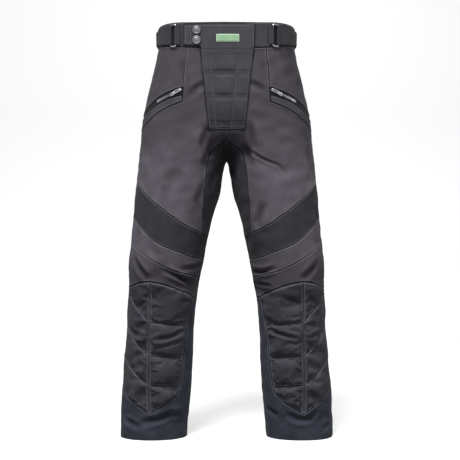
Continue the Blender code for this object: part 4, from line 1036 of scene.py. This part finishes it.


# Painted shadow on the waistband: a dark rim round the strap that lies on it, one beside the tab,
# and a dark slit in the strap's ring
def strapPaintedShadow(across, drop, side):
    past = np.interp(np.clip(across, 0, 2), rimSamples, rimLength) - rimAt(strap["ringX"][side])
    half = strap["ringHalf"]
    below = np.maximum(strap["top"] - drop, drop - strapFoot(across))
    rim = bell(below, 2.6) * (below > -1) * smoothStep(past, -17, -15)
    end = bell(past + half + strap["loop"] + 1.5, 2.0) * (below < 0)
    slit = (1 - smoothStep(np.abs(past), half - 1.5, half - 0.5)) * (below < 1)
    pastTab = np.maximum(clothPoint(across, drop)[0][..., 0] - strap["tabEndX"][side], 0)
    tab = strap["tabShade"] * bell(pastTab, 2.6) * (across < 0.6)
    rim = strap["rimShade"] * np.maximum(rim, end)
    return np.maximum(np.maximum(rim, tab), strap["slitShade"] * slit)


# Waistband: front halves and the back in one piece
waistband = {"thickness": 3.0, "roll": 1.0, "hemRoll": 1.1}


def bandPiece(name, foot, half, side, shadowSide, shadowEnd):
    top = placesOf(foot[:, 0], 0.0)
    grid, rows, cols = packedGrid(betweenPlaces([top, foot], [3]))
    relief = seamRoll(np.min([rows[-1], cols[0], cols[-1]], axis=0), waistband["roll"])
    relief += seamRoll(rows[0], waistband["hemRoll"], 0.3)
    across = np.where(grid[..., 0] > 2, 4 - grid[..., 0], grid[..., 0])
    # Painted shade in the seams, and the straps' painted shadow
    shade = seamShade(np.min([rows[-1], cols[0], cols[-1]], axis=0))
    shade += strapPaintedShadow(across, grid[..., 1], shadowSide) * (across < shadowEnd)
    piece = clothShell(name, [grid], [relief], [shade], side, bandLift, waistband["thickness"])
    dress(piece, "waistTwill", [half])
    declareCloth(piece, [grid])


for side in sides:
    waist = legGrids["waist"]
    waist = readAlong(np.linspace(0, len(waist) - 1, (len(waist) - 1) * 4 + 1),
                      np.arange(len(waist)), waist)
    bandPiece(f"waistband_front_cloth_{side}", waist, f"waistband_front_{side}", side, side, 9)
bandPiece("waistband_back_cloth", waistPlaces(1, 3, 16), "waistband_back", None, "left",
          strap["endBehindSide"] / halfGirth + 1)
print("stage: waistband made")


def flyLine(drop, sag):
    marks = [float(readColumn(flyColumns, flyRows, name, drop)) for name in flyColumns[1:]]
    spans = [np.linspace(a, b, n * fine, endpoint=False)
             for a, b, n in zip(marks, marks[1:], (3, 4, 3))]
    x = np.concatenate(spans + [[marks[-1]]])
    middle = 1 - ((x - marks[0]) / (marks[-1] - marks[0]) * 2 - 1) ** 2
    return placesAtX(x, drop + sag * middle)


# Quilted fly flap. Its upper end rises to the tab that goes on from it.
flyPad = {"raise": 3.2, "rowFlat": 4.2, "colFlat": 1.8, "width": 10.0, "power": 2.4,
          "ridge": 0.5, "groove": 0.6, "roll": 0.8, "thickness": 1.6, "pressure": 2.0,
          "slack": 0.04, "bending": 0.05, "cap": 4.0, "keep": 0.9, "upperRise": 2.0,
          "worn": 0.25, "channelShade": 0.35, "simShare": 0.3, "footShade": 0.85,
          "footDrops": (170, 262), "quiltDrops": (72, 118), "sags": (0, 0, 0, 0, 2.0, 4.0)}
tabLift = bandLift + layGap + tabThickness
flyLift = layGap + flyPad["thickness"]
flyLines = [flyLine(row[0], sag) for row, sag in zip(flyRows, flyPad["sags"])]
flyColLines = [3 * fine, 7 * fine]
grid, relief, shift, (rows, cols), shade = quiltedPad(
    "fly_pad", betweenPlaces(flyLines, (1, 3, 3, 3, 1)), [fine * k for k in (4, 7, 10)],
    flyColLines, flyLift, None, flyPad)
share = (cols[0] - cols[0][:, :1]) / (cols[0][:, -1:] - cols[0][:, :1])
quilted = 0.5 + 0.3 * smoothStep(1 - np.abs(share * 2 - 0.94), 0.42, 0.6)
quilted = quilted * smoothStep(grid[..., 1], *flyPad["quiltDrops"])
relief = relief * quilted + flyPad["upperRise"] * smoothStep(-grid[..., 1], -100, -66)
shade = shade * (1 - smoothStep(-rows[0], -4, 0))
# Painted shade, darker towards the foot of the flap
shade += flyPad["footShade"] * smoothStep(grid[..., 1], *flyPad["footDrops"])
piece = clothShell("fly_pad_cloth", [grid], [relief], [shade], None, flyLift, flyPad["thickness"],
                   None, shift * (flyPad["simShare"] * quilted)[..., None])
dress(piece, "flyPolyester", ["fly_pad"])

# Waist end of the flap with its tab
flyTab = {"roll": 1.0, "footInset": 2.6, "footFrom": (42, 71), "padStartX": -63}
label = {"x": (-25.0, 32.0), "drops": (31.0, 50.0), "thickness": 1.0, "border": 1.6}
snap = {"x": -74.0, "drops": {"upper": 20.0, "lower": 45.0}, "radius": 11.5, "sides": 48}
table = np.array(tabRows, float)
stations = np.linspace(0, len(table) - 1, (len(table) - 1) * 2 * fine + 1)
tabX, tabTop, tabFoot = readAlong(stations, np.arange(len(table)), table).T
footX = tabX - flyTab["footInset"] * smoothStep(tabX, *flyTab["footFrom"])
grid, rows, cols = packedGrid(betweenPlaces([placesAtX(tabX, tabTop), placesAtX(footX, tabFoot)],
                                            [3]))
points = pointsOf(grid)
overPad = np.where(points[0, :, 0][None, :] > flyTab["padStartX"], 1e3, rows[-1])
edges = np.min([rows[0], overPad, cols[0], cols[-1]], axis=0)
shade = seamShade(edges, 0.9, 0.2)
# Painted shadow round each snap and round the label on the tab
for drop in snap["drops"].values():
    past = np.hypot(points[..., 0] - snap["x"], -points[..., 2] - drop) - snap["radius"]
    shade = np.maximum(shade, 1.1 * bell(np.maximum(past, 0), 1.6))
past = [np.abs(values - sum(limits) / 2) - (limits[1] - limits[0]) / 2
        for values, limits in ((points[..., 0], label["x"]), (-points[..., 2], label["drops"]))]
shade = np.maximum(shade, 0.6 * bell(np.maximum(np.maximum(*past), 0), 1.6))
piece = clothShell("fly_tab_cloth", [grid], [seamRoll(edges, flyTab["roll"], 0.2)], [shade], None,
                   tabLift, tabThickness)
dress(piece, "flyPolyester", ["fly_tab"])
declareCloth(piece, [grid])

# Label, bare, with a pale border
labelX = np.linspace(*label["x"], 5 * fine)
grid, rows, cols = packedGrid(betweenPlaces([placesAtX(labelX, label["drops"][0]),
                                             placesAtX(labelX, label["drops"][1])], [2]))
relief = seamRoll(np.min([rows[0], rows[-1], cols[0], cols[-1]], axis=0), 0.5, 0.1)
piece = clothShell("waist_label_cloth", [grid], [relief], [0 * relief], None,
                   tabLift + layGap + label["thickness"], label["thickness"])
dress(piece, "greenLabelWeave", ["waist_label"])
piece.data.materials.append(materials["paleLabelEdge"])
centres = np.empty(len(piece.data.polygons) * 3)
piece.data.polygons.foreach_get("center", centres)
centres = centres.reshape(-1, 3) / mm
onBorder = np.zeros(len(centres), np.int32)
for values, (low, high) in ((centres[:, 0], label["x"]), (-centres[:, 2], label["drops"])):
    onBorder |= (values < low + label["border"]) | (values > high - label["border"])
piece.data.polygons.foreach_set("material_index", onBorder)
declareCloth(piece, [grid])
print("stage: fly, tab and label made")


# Axes of a thing that lies on the cloth: z outwards, x along the cloth or towards a place.
def frameOn(across, drop, lift, towards=None):
    step = 0.5
    here = clothPoint(across, drop, lift)[0]
    before, after = (clothPoint(across + way * step / halfGirth, drop)[0] for way in (-1, 1))
    above, below = (clothPoint(across, drop + way * step)[0] for way in (-1, 1))
    outward = Vector(np.cross(below - above, after - before)).normalized()
    along = Vector(after - before if towards is None else clothPoint(*towards, lift)[0] - here)
    along = (along - outward * along.dot(outward)).normalized()
    axes = Matrix((along, outward.cross(along), outward)).transposed().to_4x4()
    axes.translation = Vector(here)
    return np.array(axes)


def placed(points, axes):
    return points @ axes[:3, :3].T + axes[:3, 3]


# Domed snap fasteners: the profile (radius, height) turned round its axis
snapProfile = np.array((
    (0.3, 4.6), (2.0, 4.55), (4.0, 4.4), (5.6, 3.95), (6.6, 3.4), (7.1, 2.9), (7.5, 2.7),
    (8.0, 2.85), (8.6, 3.1), (9.4, 3.05), (10.2, 2.6), (10.8, 1.9), (11.0, 1.2), (11.0, 0.0),
    (10.0, -0.1), (0.3, -0.1),
))
metalAngle = 35  # degrees past which an edge of metal looks sharp
turns = np.arange(snap["sides"]) * 2 * math.pi / snap["sides"]
radius, height = snapProfile[:, :1], snapProfile[:, 1:]
snapPoints = np.stack([radius * np.cos(turns), radius * np.sin(turns), height + 0 * turns], -1)
index = numbersOf(snapPoints)
snapFaces = gridFaces(index, 0, 1).tolist() + [index[0].tolist(), index[-1][::-1].tolist()]
for name, drop in snap["drops"].items():
    axes = frameOn(float(acrossAt(snap["x"], drop)), drop, tabLift + layGap)
    piece = makeMesh(f"snap_{name}_metal", placed(snapPoints.reshape(-1, 3), axes), snapFaces,
                     smoothAngle=metalAngle)
    dress(piece, "gunmetalSnap", [f"snap_{name}"])
print("stage: snaps made")


# Copies of a small shape at many centres, each turned to its own axes
def arrayMesh(name, shapePoints, shapeFaces, centres, alongs, normals, side):
    axes = np.stack([alongs, np.cross(normals, alongs), normals], 1)
    points = centres[:, None] + np.einsum("pk,nkc->npc", shapePoints, axes)
    faces = np.array([face + (face[-1],) * (4 - len(face)) for face in shapeFaces])
    index = faces[None] + (np.arange(len(centres)) * len(shapePoints))[:, None, None]
    return makeMesh(name, points.reshape(-1, 3), index.reshape(-1, 4), side)


# Points spread evenly along a line of places, moved off it to its left, with their axes
def spreadAlong(places, offset, lift, side, pitch):
    points, normals = clothPoint(places[:, 0], places[:, 1], lift, side)
    tangents = unit(np.gradient(points, axis=0))
    points = points + np.cross(normals, tangents) * offset
    length = lengthAlong(points)
    count = max(2, int(length[-1] / pitch))
    at = (np.arange(count) + 0.5) * length[-1] / count
    points, tangents, normals = (readAlong(at, length, v) for v in (points, tangents, normals))
    return points, unit(tangents), unit(normals)


# One stitch: a thin spindle with a tip at each end; copies of it stand in rows along a line.
stitch = {"length": 3.5, "pitch": 3.9, "radius": 0.42, "sides": 5, "sunk": -0.3, "shoulder": 0.27}
n = stitch["sides"]
turns = np.arange(n) * 2 * math.pi / n
ring = np.stack([0 * turns, np.cos(turns), np.sin(turns)], -1) * stitch["radius"]
shoulder = (stitch["length"] * stitch["shoulder"], 0, 0)
stitchPoints = np.concatenate([
    [[-stitch["length"] / 2, 0, stitch["sunk"]]], ring - shoulder + (0, 0, 0.1),
    ring + shoulder + (0, 0, 0.1), [[stitch["length"] / 2, 0, stitch["sunk"]]],
])
stitchFaces = []
for k in range(n):
    a, b = 1 + k, 1 + (k + 1) % n
    stitchFaces += [(0, b, a), (a, b, b + n, a + n), (a + n, b + n, 2 * n + 1)]
stitchRuns = {}


def addStitches(group, places, offset, lift, side=None, height=0.15):
    rows = spreadAlong(places, offset, lift + height, side, stitch["pitch"])
    stitchRuns.setdefault(group, []).append(rows)


# Rows of stitches on each leg: line, its distances to the line's left, and height
padSpine = legGrids["knee_pad"][:, padSpineColumn]
quiltRow, quiltSpine, seamSide = (-2.9, 2.9), (-4.3, 4.3), (-2.6, -8.0)
legLines = {
    "light": (
        (curvePlaces(bandTop, 20), (-2.4, 2.4), 0.3), (curvePlaces(bandFoot, 20), (-2.4, 2.4), 0.3),
        (curvePlaces(yokeSeam, 20), (2.4, -2.4), 0.3),
        (curvePlaces(verticalSeam, 10), (-2.4,), 0.3), (curvePlaces(zipTop, 12), (3.2,), 0.3),
        (curvePlaces(weltFoot, 12), (-2.4,), 0.3), (padLines[0], quiltRow, 0.1),
        (legGrids["knee_pad"][:, 0], quiltRow, 0.1), (padLines[4], quiltRow[::-1], 0.1),
        (padSpine, quiltSpine, 0.0), *((line, quiltRow, 0.0) for line in padLines[1:4]),
    ),
    "dark": (
        (curvePlaces(thighEdge, 20), (2.4,), 0.3),
        (sidePlaces(268.0, 640.0, 20), seamSide, 0.3), (sidePlaces(48.0, 224.0, 10), seamSide, 0.3),
        (sidePlaces(925.0, 1046.0, 6), seamSide, 0.3),
        (straightPlaces((1.985, 70.0), (1.985, 210.0), 10), (0.0, -6.0), 0.2),
        (straightPlaces((0.03, 1034.0), (0.97, 1034.0), 12), (0.0,), 0.0),
        (straightPlaces((1.03, 1034.0), (1.97, 1034.0), 12), (0.0,), 0.0),
    ),
}
waistRow = {"seam": -2.6, "topDrop": 4.5, "from": {"left": 0.4, "right": 0.27}}


def addWaistRows(group, across):
    addStitches(group, placesOf(across, waistSeamDrop(across)), waistRow["seam"], bandLift)
    addStitches(group, placesOf(across, waistRow["topDrop"]), 0.0, bandLift)


for side in sides:
    for thread, lines in legLines.items():
        for line, offsets, height in lines:
            for offset in offsets:
                addStitches((thread, side), line, offset, height, side)
    addWaistRows(("light", side), np.linspace(waistRow["from"][side], 0.995, 120))
addStitches(("light", "right"), curvePlaces(verticalSeam, 10), 2.4, 0.3, "right")
addWaistRows(("light", "middle"), np.linspace(1.005, 2.995, 300))

flyDense = betweenPlaces(flyLines, (2, 6, 6, 6, 2))
flyLineLeft, flyLineRight = flyDense[:, flyColLines[0]], flyDense[:, flyColLines[1]]
for line, offset in ((flyDense[:, 0], 3.2), (flyDense[:, -1], -3.2), (flyLineLeft, 0.0),
                     (flyLineRight, 0.0), (flyLineRight, 7.5), (flyLineLeft, 12.0),
                     (flyLines[5], -3.0)):
    addStitches(("fly", "middle"), line, offset, flyLift)
for line in flyLines[2:5]:
    for offset in (-4.2, 4.2):
        addStitches(("fly", "middle"), line[4:-4], offset, flyLift)
addStitches(("fly", "middle"), flyLines[4][4:-4], -11.0, flyLift)
addStitches(("fly", "middle"), flyLines[1][4:-4], -4.2, flyLift + flyPad["upperRise"] * 0.85)
tabEnd = [(-88, 12), (-101, 12), (-101, 53), (-88, 53), (-88, 12)]
tabLines = [(np.linspace(a[0], b[0], 20), np.linspace(a[1], b[1], 20))
            for a, b in zip(tabEnd, tabEnd[1:])]
tabLines += [(np.linspace(-86, 67, 120), 11.0), (67.0, np.linspace(11, 64, 40))]
for x, drops in tabLines:
    line = placesAtX(*np.broadcast_arrays(x, drops))
    addStitches(("light", "middle"), line, 0.0, tabLift, None, 0.05)
threads = {"light": "greySewingThread", "dark": "darkSewingThread", "fly": "flySewingThread"}
for (thread, side), runs in stitchRuns.items():
    centres, alongs, normals = (np.concatenate([run[k] for run in runs]) for k in range(3))
    piece = arrayMesh(f"topstitching_{thread}_{side}", stitchPoints, stitchFaces, centres, alongs,
                      normals, side)
    dress(piece, threads[thread])
    print("stage:", piece.name, len(centres), "stitches")


# A closed strip of webbing: rows of points along its path, for its outer and its inner face.
def webbingShell(name, outer, inner, side, seam):
    index = numbersOf(outer)
    quads = gridFaces(index.T)
    rim = np.concatenate([index[0], index[1:, -1], index[-1, -2::-1], index[-2:0:-1, 0]])
    after = np.roll(rim, -1)
    count = index.size
    rims = np.stack([rim, rim + count, after + count, after], -1)
    faces = np.concatenate([quads, quads[:, ::-1] + count, rims])
    length = lengthAlong(outer[:, outer.shape[1] // 2])
    width = np.linalg.norm(outer[:, -1] - outer[:, 0], axis=1).max()
    uvs = placesOf(length[:, None], width * np.linspace(0, 1, outer.shape[1])).reshape(-1, 2)
    points = np.concatenate([outer.reshape(-1, 3), inner.reshape(-1, 3)])
    return makeMesh(name, points, faces, side, np.tile(uvs, (2, 1)), np.tile(seam.ravel(), 2), 60)


# A strap follows a path of (distance along the waistband from its ring, height above the cloth).
def webbing(name, path, side, flatEnds):
    path = np.array(path, float)
    length = lengthAlong(path)
    spans = [np.linspace(a, b, 4) for a, b in zip(length, length[1:]) if b - a > 4]
    at = np.unique(np.concatenate([length] + spans))
    path = readAlong(at, length, path)
    ahead = unit(np.gradient(path, axis=0))
    aside = np.stack([-ahead[:, 1], ahead[:, 0]], -1)[:, None, :]
    v = np.linspace(0, 1, strap["widthRows"] + 1)
    v = np.unique(np.concatenate([v, [0.008, 0.02, 0.98, 0.992]]))
    fromEdge = np.minimum(v, 1 - v) * (strap["foot"] - strap["top"])
    half = (strap["thickness"] / 2 - 0.55 * bell(fromEdge, 0.7))[None, :, None]
    faces = []
    for sign in (1, -1):
        line = path[:, None, :] + aside * sign * half
        across = np.interp(rimAt(strap["ringX"][side]) + line[..., 0], rimLength, rimSamples)
        drop = strap["top"] + (strapFoot(across) - strap["top"]) * v[None, :]
        faces.append(clothPoint(across, drop, line[..., 1])[0])
    # Painted shade along the strap's edges, at its cut ends and on its half turns
    ends = np.minimum(at, at[-1] - at)[:, None] if flatEnds else 9.0
    shade = np.maximum(0.5 * bell(fromEdge, 1.5)[None, :], 0.6 * bell(ends, 1.5))
    turned = np.abs(np.gradient(path[:, 1], at))[:, None]
    return webbingShell(name, *faces, side, shade + 0.5 * smoothStep(turned, 0.15, 0.6))


def halfTurn(bar, towards, low, steps=14):
    radius = strap["wire"] + layGap / 2 + 0.1 + strap["thickness"] / 2
    turns = np.linspace(-math.pi / 2, math.pi / 2, steps + 1)
    return [(bar + towards * radius * math.cos(t), low + radius * (1 + math.sin(t))) for t in turns]


for side in sides:
    start = rimAt(strap["ringX"][side])
    middle = float(np.interp(1.0, rimSamples, rimLength)) - start
    sideEnd = middle + strap["endBehindSide"]
    turnEnd = rimAt(strap["turnEndX"]) - start
    low = bandLift + strap["gap"] + strap["thickness"] / 2
    high = low + strap["thickness"] + strap["gap"]

    def bowed(distances, height):
        share = [max(0.0, 1 - ((d - middle) / strap["bowReach"]) ** 2) for d in distances]
        return [(d, height + strap["bow"] * s**2) for d, s in zip(distances, share)]

    under = bowed(np.arange(sideEnd, strap["ringHalf"] + 4, -8.0), low)
    over = bowed([*np.arange(strap["ringHalf"] + 10, turnEnd, 8.0), turnEnd], high)
    path = under + halfTurn(strap["ringHalf"], -1, low) + over
    piece = webbing(f"strap_webbing_{side}", path, side, True)
    dress(piece, "darkWebbing", [f"strap_{side}"])
    base = -strap["ringHalf"] - strap["loop"]
    path = [(base, low)] + halfTurn(-strap["ringHalf"], 1, low) + [(base + 2, high), (base, high)]
    piece = webbing(f"strap_loop_webbing_{side}", path, side, False)
    dress(piece, "waistTwill", [f"strap_loop_{side}"])
print("stage: straps made")

# Zip coil: two rows of short loops that mesh along the middle of the tape
zipCoil = {"pitch": 1.5, "length": 6.2, "radius": 0.62, "lift": -0.6, "inner": 0.50,
           "outer": 0.655, "apart": 1.3}
coilAcross = np.linspace(zipCoil["inner"], zipCoil["outer"], 400)
coilDrop = sum(readColumn(("across", "drop"), line, "drop", coilAcross)
               for line in (zipTop, weltTop)) / 2
thicker = zipCoil["radius"] / stitch["radius"]
loopScale = np.array((zipCoil["length"] / stitch["length"], thicker, thicker))
for side in sides:
    centres, ahead, outward = spreadAlong(placesOf(coilAcross, coilDrop), 0.0, zipCoil["lift"],
                                          side, zipCoil["pitch"])
    aside = np.cross(outward, ahead)
    ways = np.where(np.arange(len(centres)) % 2, 1, -1)[:, None]
    piece = arrayMesh(f"zip_coil_{side}", stitchPoints * loopScale, stitchFaces,
                      centres + aside * zipCoil["apart"] * ways, aside, outward, side)
    dress(piece, "nickelZipTeeth")


# A closed band between an outer and an inner outline (n x 2 each), as thick as told, with its
# four edges cut off by the bevel.
def outlineBand(outer, inner, thickness, bevel):
    half = thickness / 2
    cut = np.minimum(bevel / np.linalg.norm(inner - outer, axis=1), 0.45)[:, None]
    steps = ((0 * cut, bevel - half), (0 * cut, half - bevel), (cut, half), (1 - cut, half),
             (0 * cut + 1, half - bevel), (0 * cut + 1, bevel - half), (1 - cut, -half),
             (cut, -half))
    points = np.stack([
        np.concatenate([outer + (inner - outer) * share, np.full((len(outer), 1), height)], 1)
        for share, height in steps
    ], 1)
    return points.reshape(-1, 3), gridFaces(numbersOf(points), 1, 1).tolist()


# A rounded block: |x/a|^p + |y/b|^p + |z/c|^p = 1 on a grid of turns and tilts
def roundedBlock(centre, halves, power=4.0, sides=28, tiers=14):
    turn, tilt = np.meshgrid(np.linspace(0, 2 * np.pi, sides, endpoint=False),
                             np.linspace(-np.pi / 2, np.pi / 2, tiers + 1)[1:-1])
    ways = np.stack([np.cos(tilt) * np.cos(turn), np.cos(tilt) * np.sin(turn), np.sin(tilt)], -1)
    size = (np.abs(ways) ** power).sum(-1, keepdims=True) ** (1 / power)
    points = np.concatenate([(ways / size).reshape(-1, 3), [[0, 0, -1], [0, 0, 1]]])
    points = points * halves + centre
    index = numbersOf(turn)
    after = np.roll(index, -1, 1)
    faces = gridFaces(index.T, 1).tolist()
    faces += [[turn.size, after[0, k], index[0, k]] for k in range(sides)]
    faces += [[turn.size + 1, index[-1, k], after[-1, k]] for k in range(sides)]
    return points, faces


def joinedPiece(name, shapes, axes, side):
    points, faces = [], []
    for shapePoints, shapeFaces in shapes:
        start = sum(map(len, points))
        faces += [[int(corner) + start for corner in face] for face in shapeFaces]
        points.append(shapePoints)
    return makeMesh(name, placed(np.concatenate(points), axes), faces, side, smoothAngle=metalAngle)


# Zip slider with its bridge, and the pull tab that hangs on it: an eye, and a plate with a slot
zipHead = {"across": 0.485, "drop": 178.5, "towards": (0.398, 166.0), "lift": -0.4, "bar": 5.9,
           "tipHeight": 2.2, "thickness": 1.6, "plate": (1.6, 27.0), "width": 7.0,
           "slot": (9.0, 22.0), "slotWidth": 2.6, "neck": 0.42, "neckEnds": (2.0, 8.0),
           "eyeOuter": 2.1, "eyeBore": 1.25, "eyeLength": 3.3, "bevel": 0.35, "eyeBevel": 0.25}
sliderBlocks = (  # centre, half sizes and power of each
    ((0, 0, 1.6), (6.0, 4.0, 1.6), 4.0), ((-3.4, 0, 1.6), (2.4, 4.0, 1.5), 4.0),
    ((0, -2.75, 4.6), (1.2, 0.65, 2.3), 4.0), ((0, 2.75, 4.6), (1.2, 0.65, 2.3), 4.0),
    ((0, 0, 5.9), (0.8, 3.0, 0.8), 2.6),
)
turn = np.linspace(0, 2 * np.pi, 64, endpoint=False)
circle = np.stack([np.cos(turn), np.sin(turn)], -1)
roundedSquare = np.sign(circle) * np.abs(circle) ** 0.4


# A rounded rectangle from one x to another
def slotOutline(ends, width):
    return roundedSquare * ((ends[1] - ends[0]) / 2, width / 2) + (sum(ends) / 2, 0)


for side in sides:
    axes = frameOn(zipHead["across"], zipHead["drop"], zipHead["lift"], zipHead["towards"])
    shapes = [roundedBlock(*block) for block in sliderBlocks]
    piece = joinedPiece(f"zip_slider_metal_{side}", shapes, axes, side)
    dress(piece, "darkZipMetal", [f"zip_slider_{side}"])
    pivot = axes[:3, 3] + axes[:3, :3] @ (0, 0, zipHead["bar"])
    tip = clothPoint(*zipHead["towards"], zipHead["tipHeight"])[0]
    local = axes[:3, :3].T @ (tip - pivot)
    dip = math.atan2(-local[2], local[0])
    pullAxes = axes.copy()
    pullAxes[:3, :3] = axes[:3, :3] @ np.array(Matrix.Rotation(dip, 3, "Y"))
    pullAxes[:3, 3] = pivot
    plate = slotOutline(zipHead["plate"], zipHead["width"])
    neck = zipHead["neck"]
    plate[:, 1] *= neck + (1 - neck) * smoothStep(plate[:, 0], *zipHead["neckEnds"])
    slot = slotOutline(zipHead["slot"], zipHead["slotWidth"])
    eye, eyeFaces = outlineBand(circle * zipHead["eyeOuter"], circle * zipHead["eyeBore"],
                                zipHead["eyeLength"], zipHead["eyeBevel"])
    shapes = [outlineBand(plate, slot, zipHead["thickness"], zipHead["bevel"]),
              (eye[:, [0, 2, 1]] * (1, -1, 1), eyeFaces)]
    piece = joinedPiece(f"zip_pull_metal_{side}", shapes, pullAxes, side)
    dress(piece, "darkZipMetal", [f"zip_pull_{side}"], f"pull_{side}")
    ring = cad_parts[f"strap_ring_{side}"]
    ring.data.materials.clear()
    ring.data.materials.append(materials["brushedSteelWire"])
print("stage: zips and rings made")

# Floor and backdrop, joined by y = bend + r sin(t) and z = floor + r (1 - cos(t)), in metres
stage = {"floor": -1.0503, "front": -16.0, "bend": 2.2, "radius": 1.2, "height": 6.0,
         "halfWidth": 16.0, "domeRadius": 15.0, "domeTop": 0.49 * math.pi, "paper": "#DADADA",
         "glow": 0.5}
paper, tree = newMaterial("palePaperBackdrop")
finishMaterial(tree, {"Base Color": hexColour(stage["paper"]), "Roughness": 0.9,
               "Specular IOR Level": 0.1, "Emission Color": (1, 1, 1, 1),
               "Emission Strength": stage["glow"]}, {})


def stagePiece(name, points, index):
    piece = makeMesh(name, points.reshape(-1, 3) / mm, gridFaces(index))
    piece.data.materials.append(paper)
    piece.visible_diffuse = False
    return piece


turns = np.linspace(0, math.pi / 2, 17)
wall = stage["bend"] + stage["radius"]
y = np.array([stage["front"], *(stage["bend"] + stage["radius"] * np.sin(turns)), wall])
z = stage["radius"] * (1 - np.cos(turns)) + stage["floor"]
z = np.array([stage["floor"], *z, stage["height"]])
x = np.array([-stage["halfWidth"], stage["halfWidth"]])
points = np.stack(np.broadcast_arrays(x[None, :], y[:, None], z[:, None]), -1)
stagePiece("backdrop", points, numbersOf(points).T)

# A pale dome beyond the lights, seen by the camera alone, so that all sides have a pale background
turns, tilts = np.meshgrid(np.linspace(0, 2 * math.pi, 65), np.linspace(0, stage["domeTop"], 17))
points = np.stack([np.cos(tilts) * np.cos(turns), np.cos(tilts) * np.sin(turns), np.sin(tilts)], -1)
dome = stagePiece("backdropDome", points * stage["domeRadius"] + (0, 0, stage["floor"]),
                  numbersOf(points))
dome.visible_glossy = dome.visible_shadow = False

lights = {  # place, what it is aimed at, size in metres and power in watts
    "keyLight": ((-0.6, -1.7, 2.4), (0.0, -0.1, -0.5), 1.2, 156.0),
    "frontLight": ((0.4, -4.2, 0.3), (0.0, 0.0, -0.6), 1.2, 26.0),
    "sideLight": ((2.4, -1.2, 1.0), (0.0, 0.0, -0.6), 1.4, 18.0),
    "rearLight": ((0.4, 2.0, 2.4), (0.0, 0.0, -0.6), 1.8, 40.0),
}
for lightName, (place, aim, size, power) in lights.items():
    data = bpy.data.lights.new(lightName, "AREA")
    data.shape, data.size, data.energy = "DISK", size, power
    lamp = bpy.data.objects.new(lightName, data)
    bpy.context.collection.objects.link(lamp)
    lamp.location = place
    lamp.rotation_euler = (Vector(aim) - Vector(place)).to_track_quat("-Z", "Y").to_euler()
skyStrength = 0.14
world = bpy.context.scene.world or bpy.data.worlds.new("world")
bpy.context.scene.world = world
world.use_nodes = True
world.node_tree.nodes["Background"].inputs["Color"].default_value = (1, 1, 1, 1)
world.node_tree.nodes["Background"].inputs["Strength"].default_value = skyStrength

bpy.context.scene.view_settings.view_transform = "Standard"
cameraData = bpy.data.cameras.new("camera")
cameraData.lens = 79.8
cameraData.sensor_width = 36.0
camera = bpy.data.objects.new("camera", cameraData)
bpy.context.collection.objects.link(camera)
camera.location = (0.009, -2.65, -0.516)
camera.rotation_euler = (math.pi / 2, 0, 0)
bpy.context.scene.camera = camera

print("stage: scene ready")
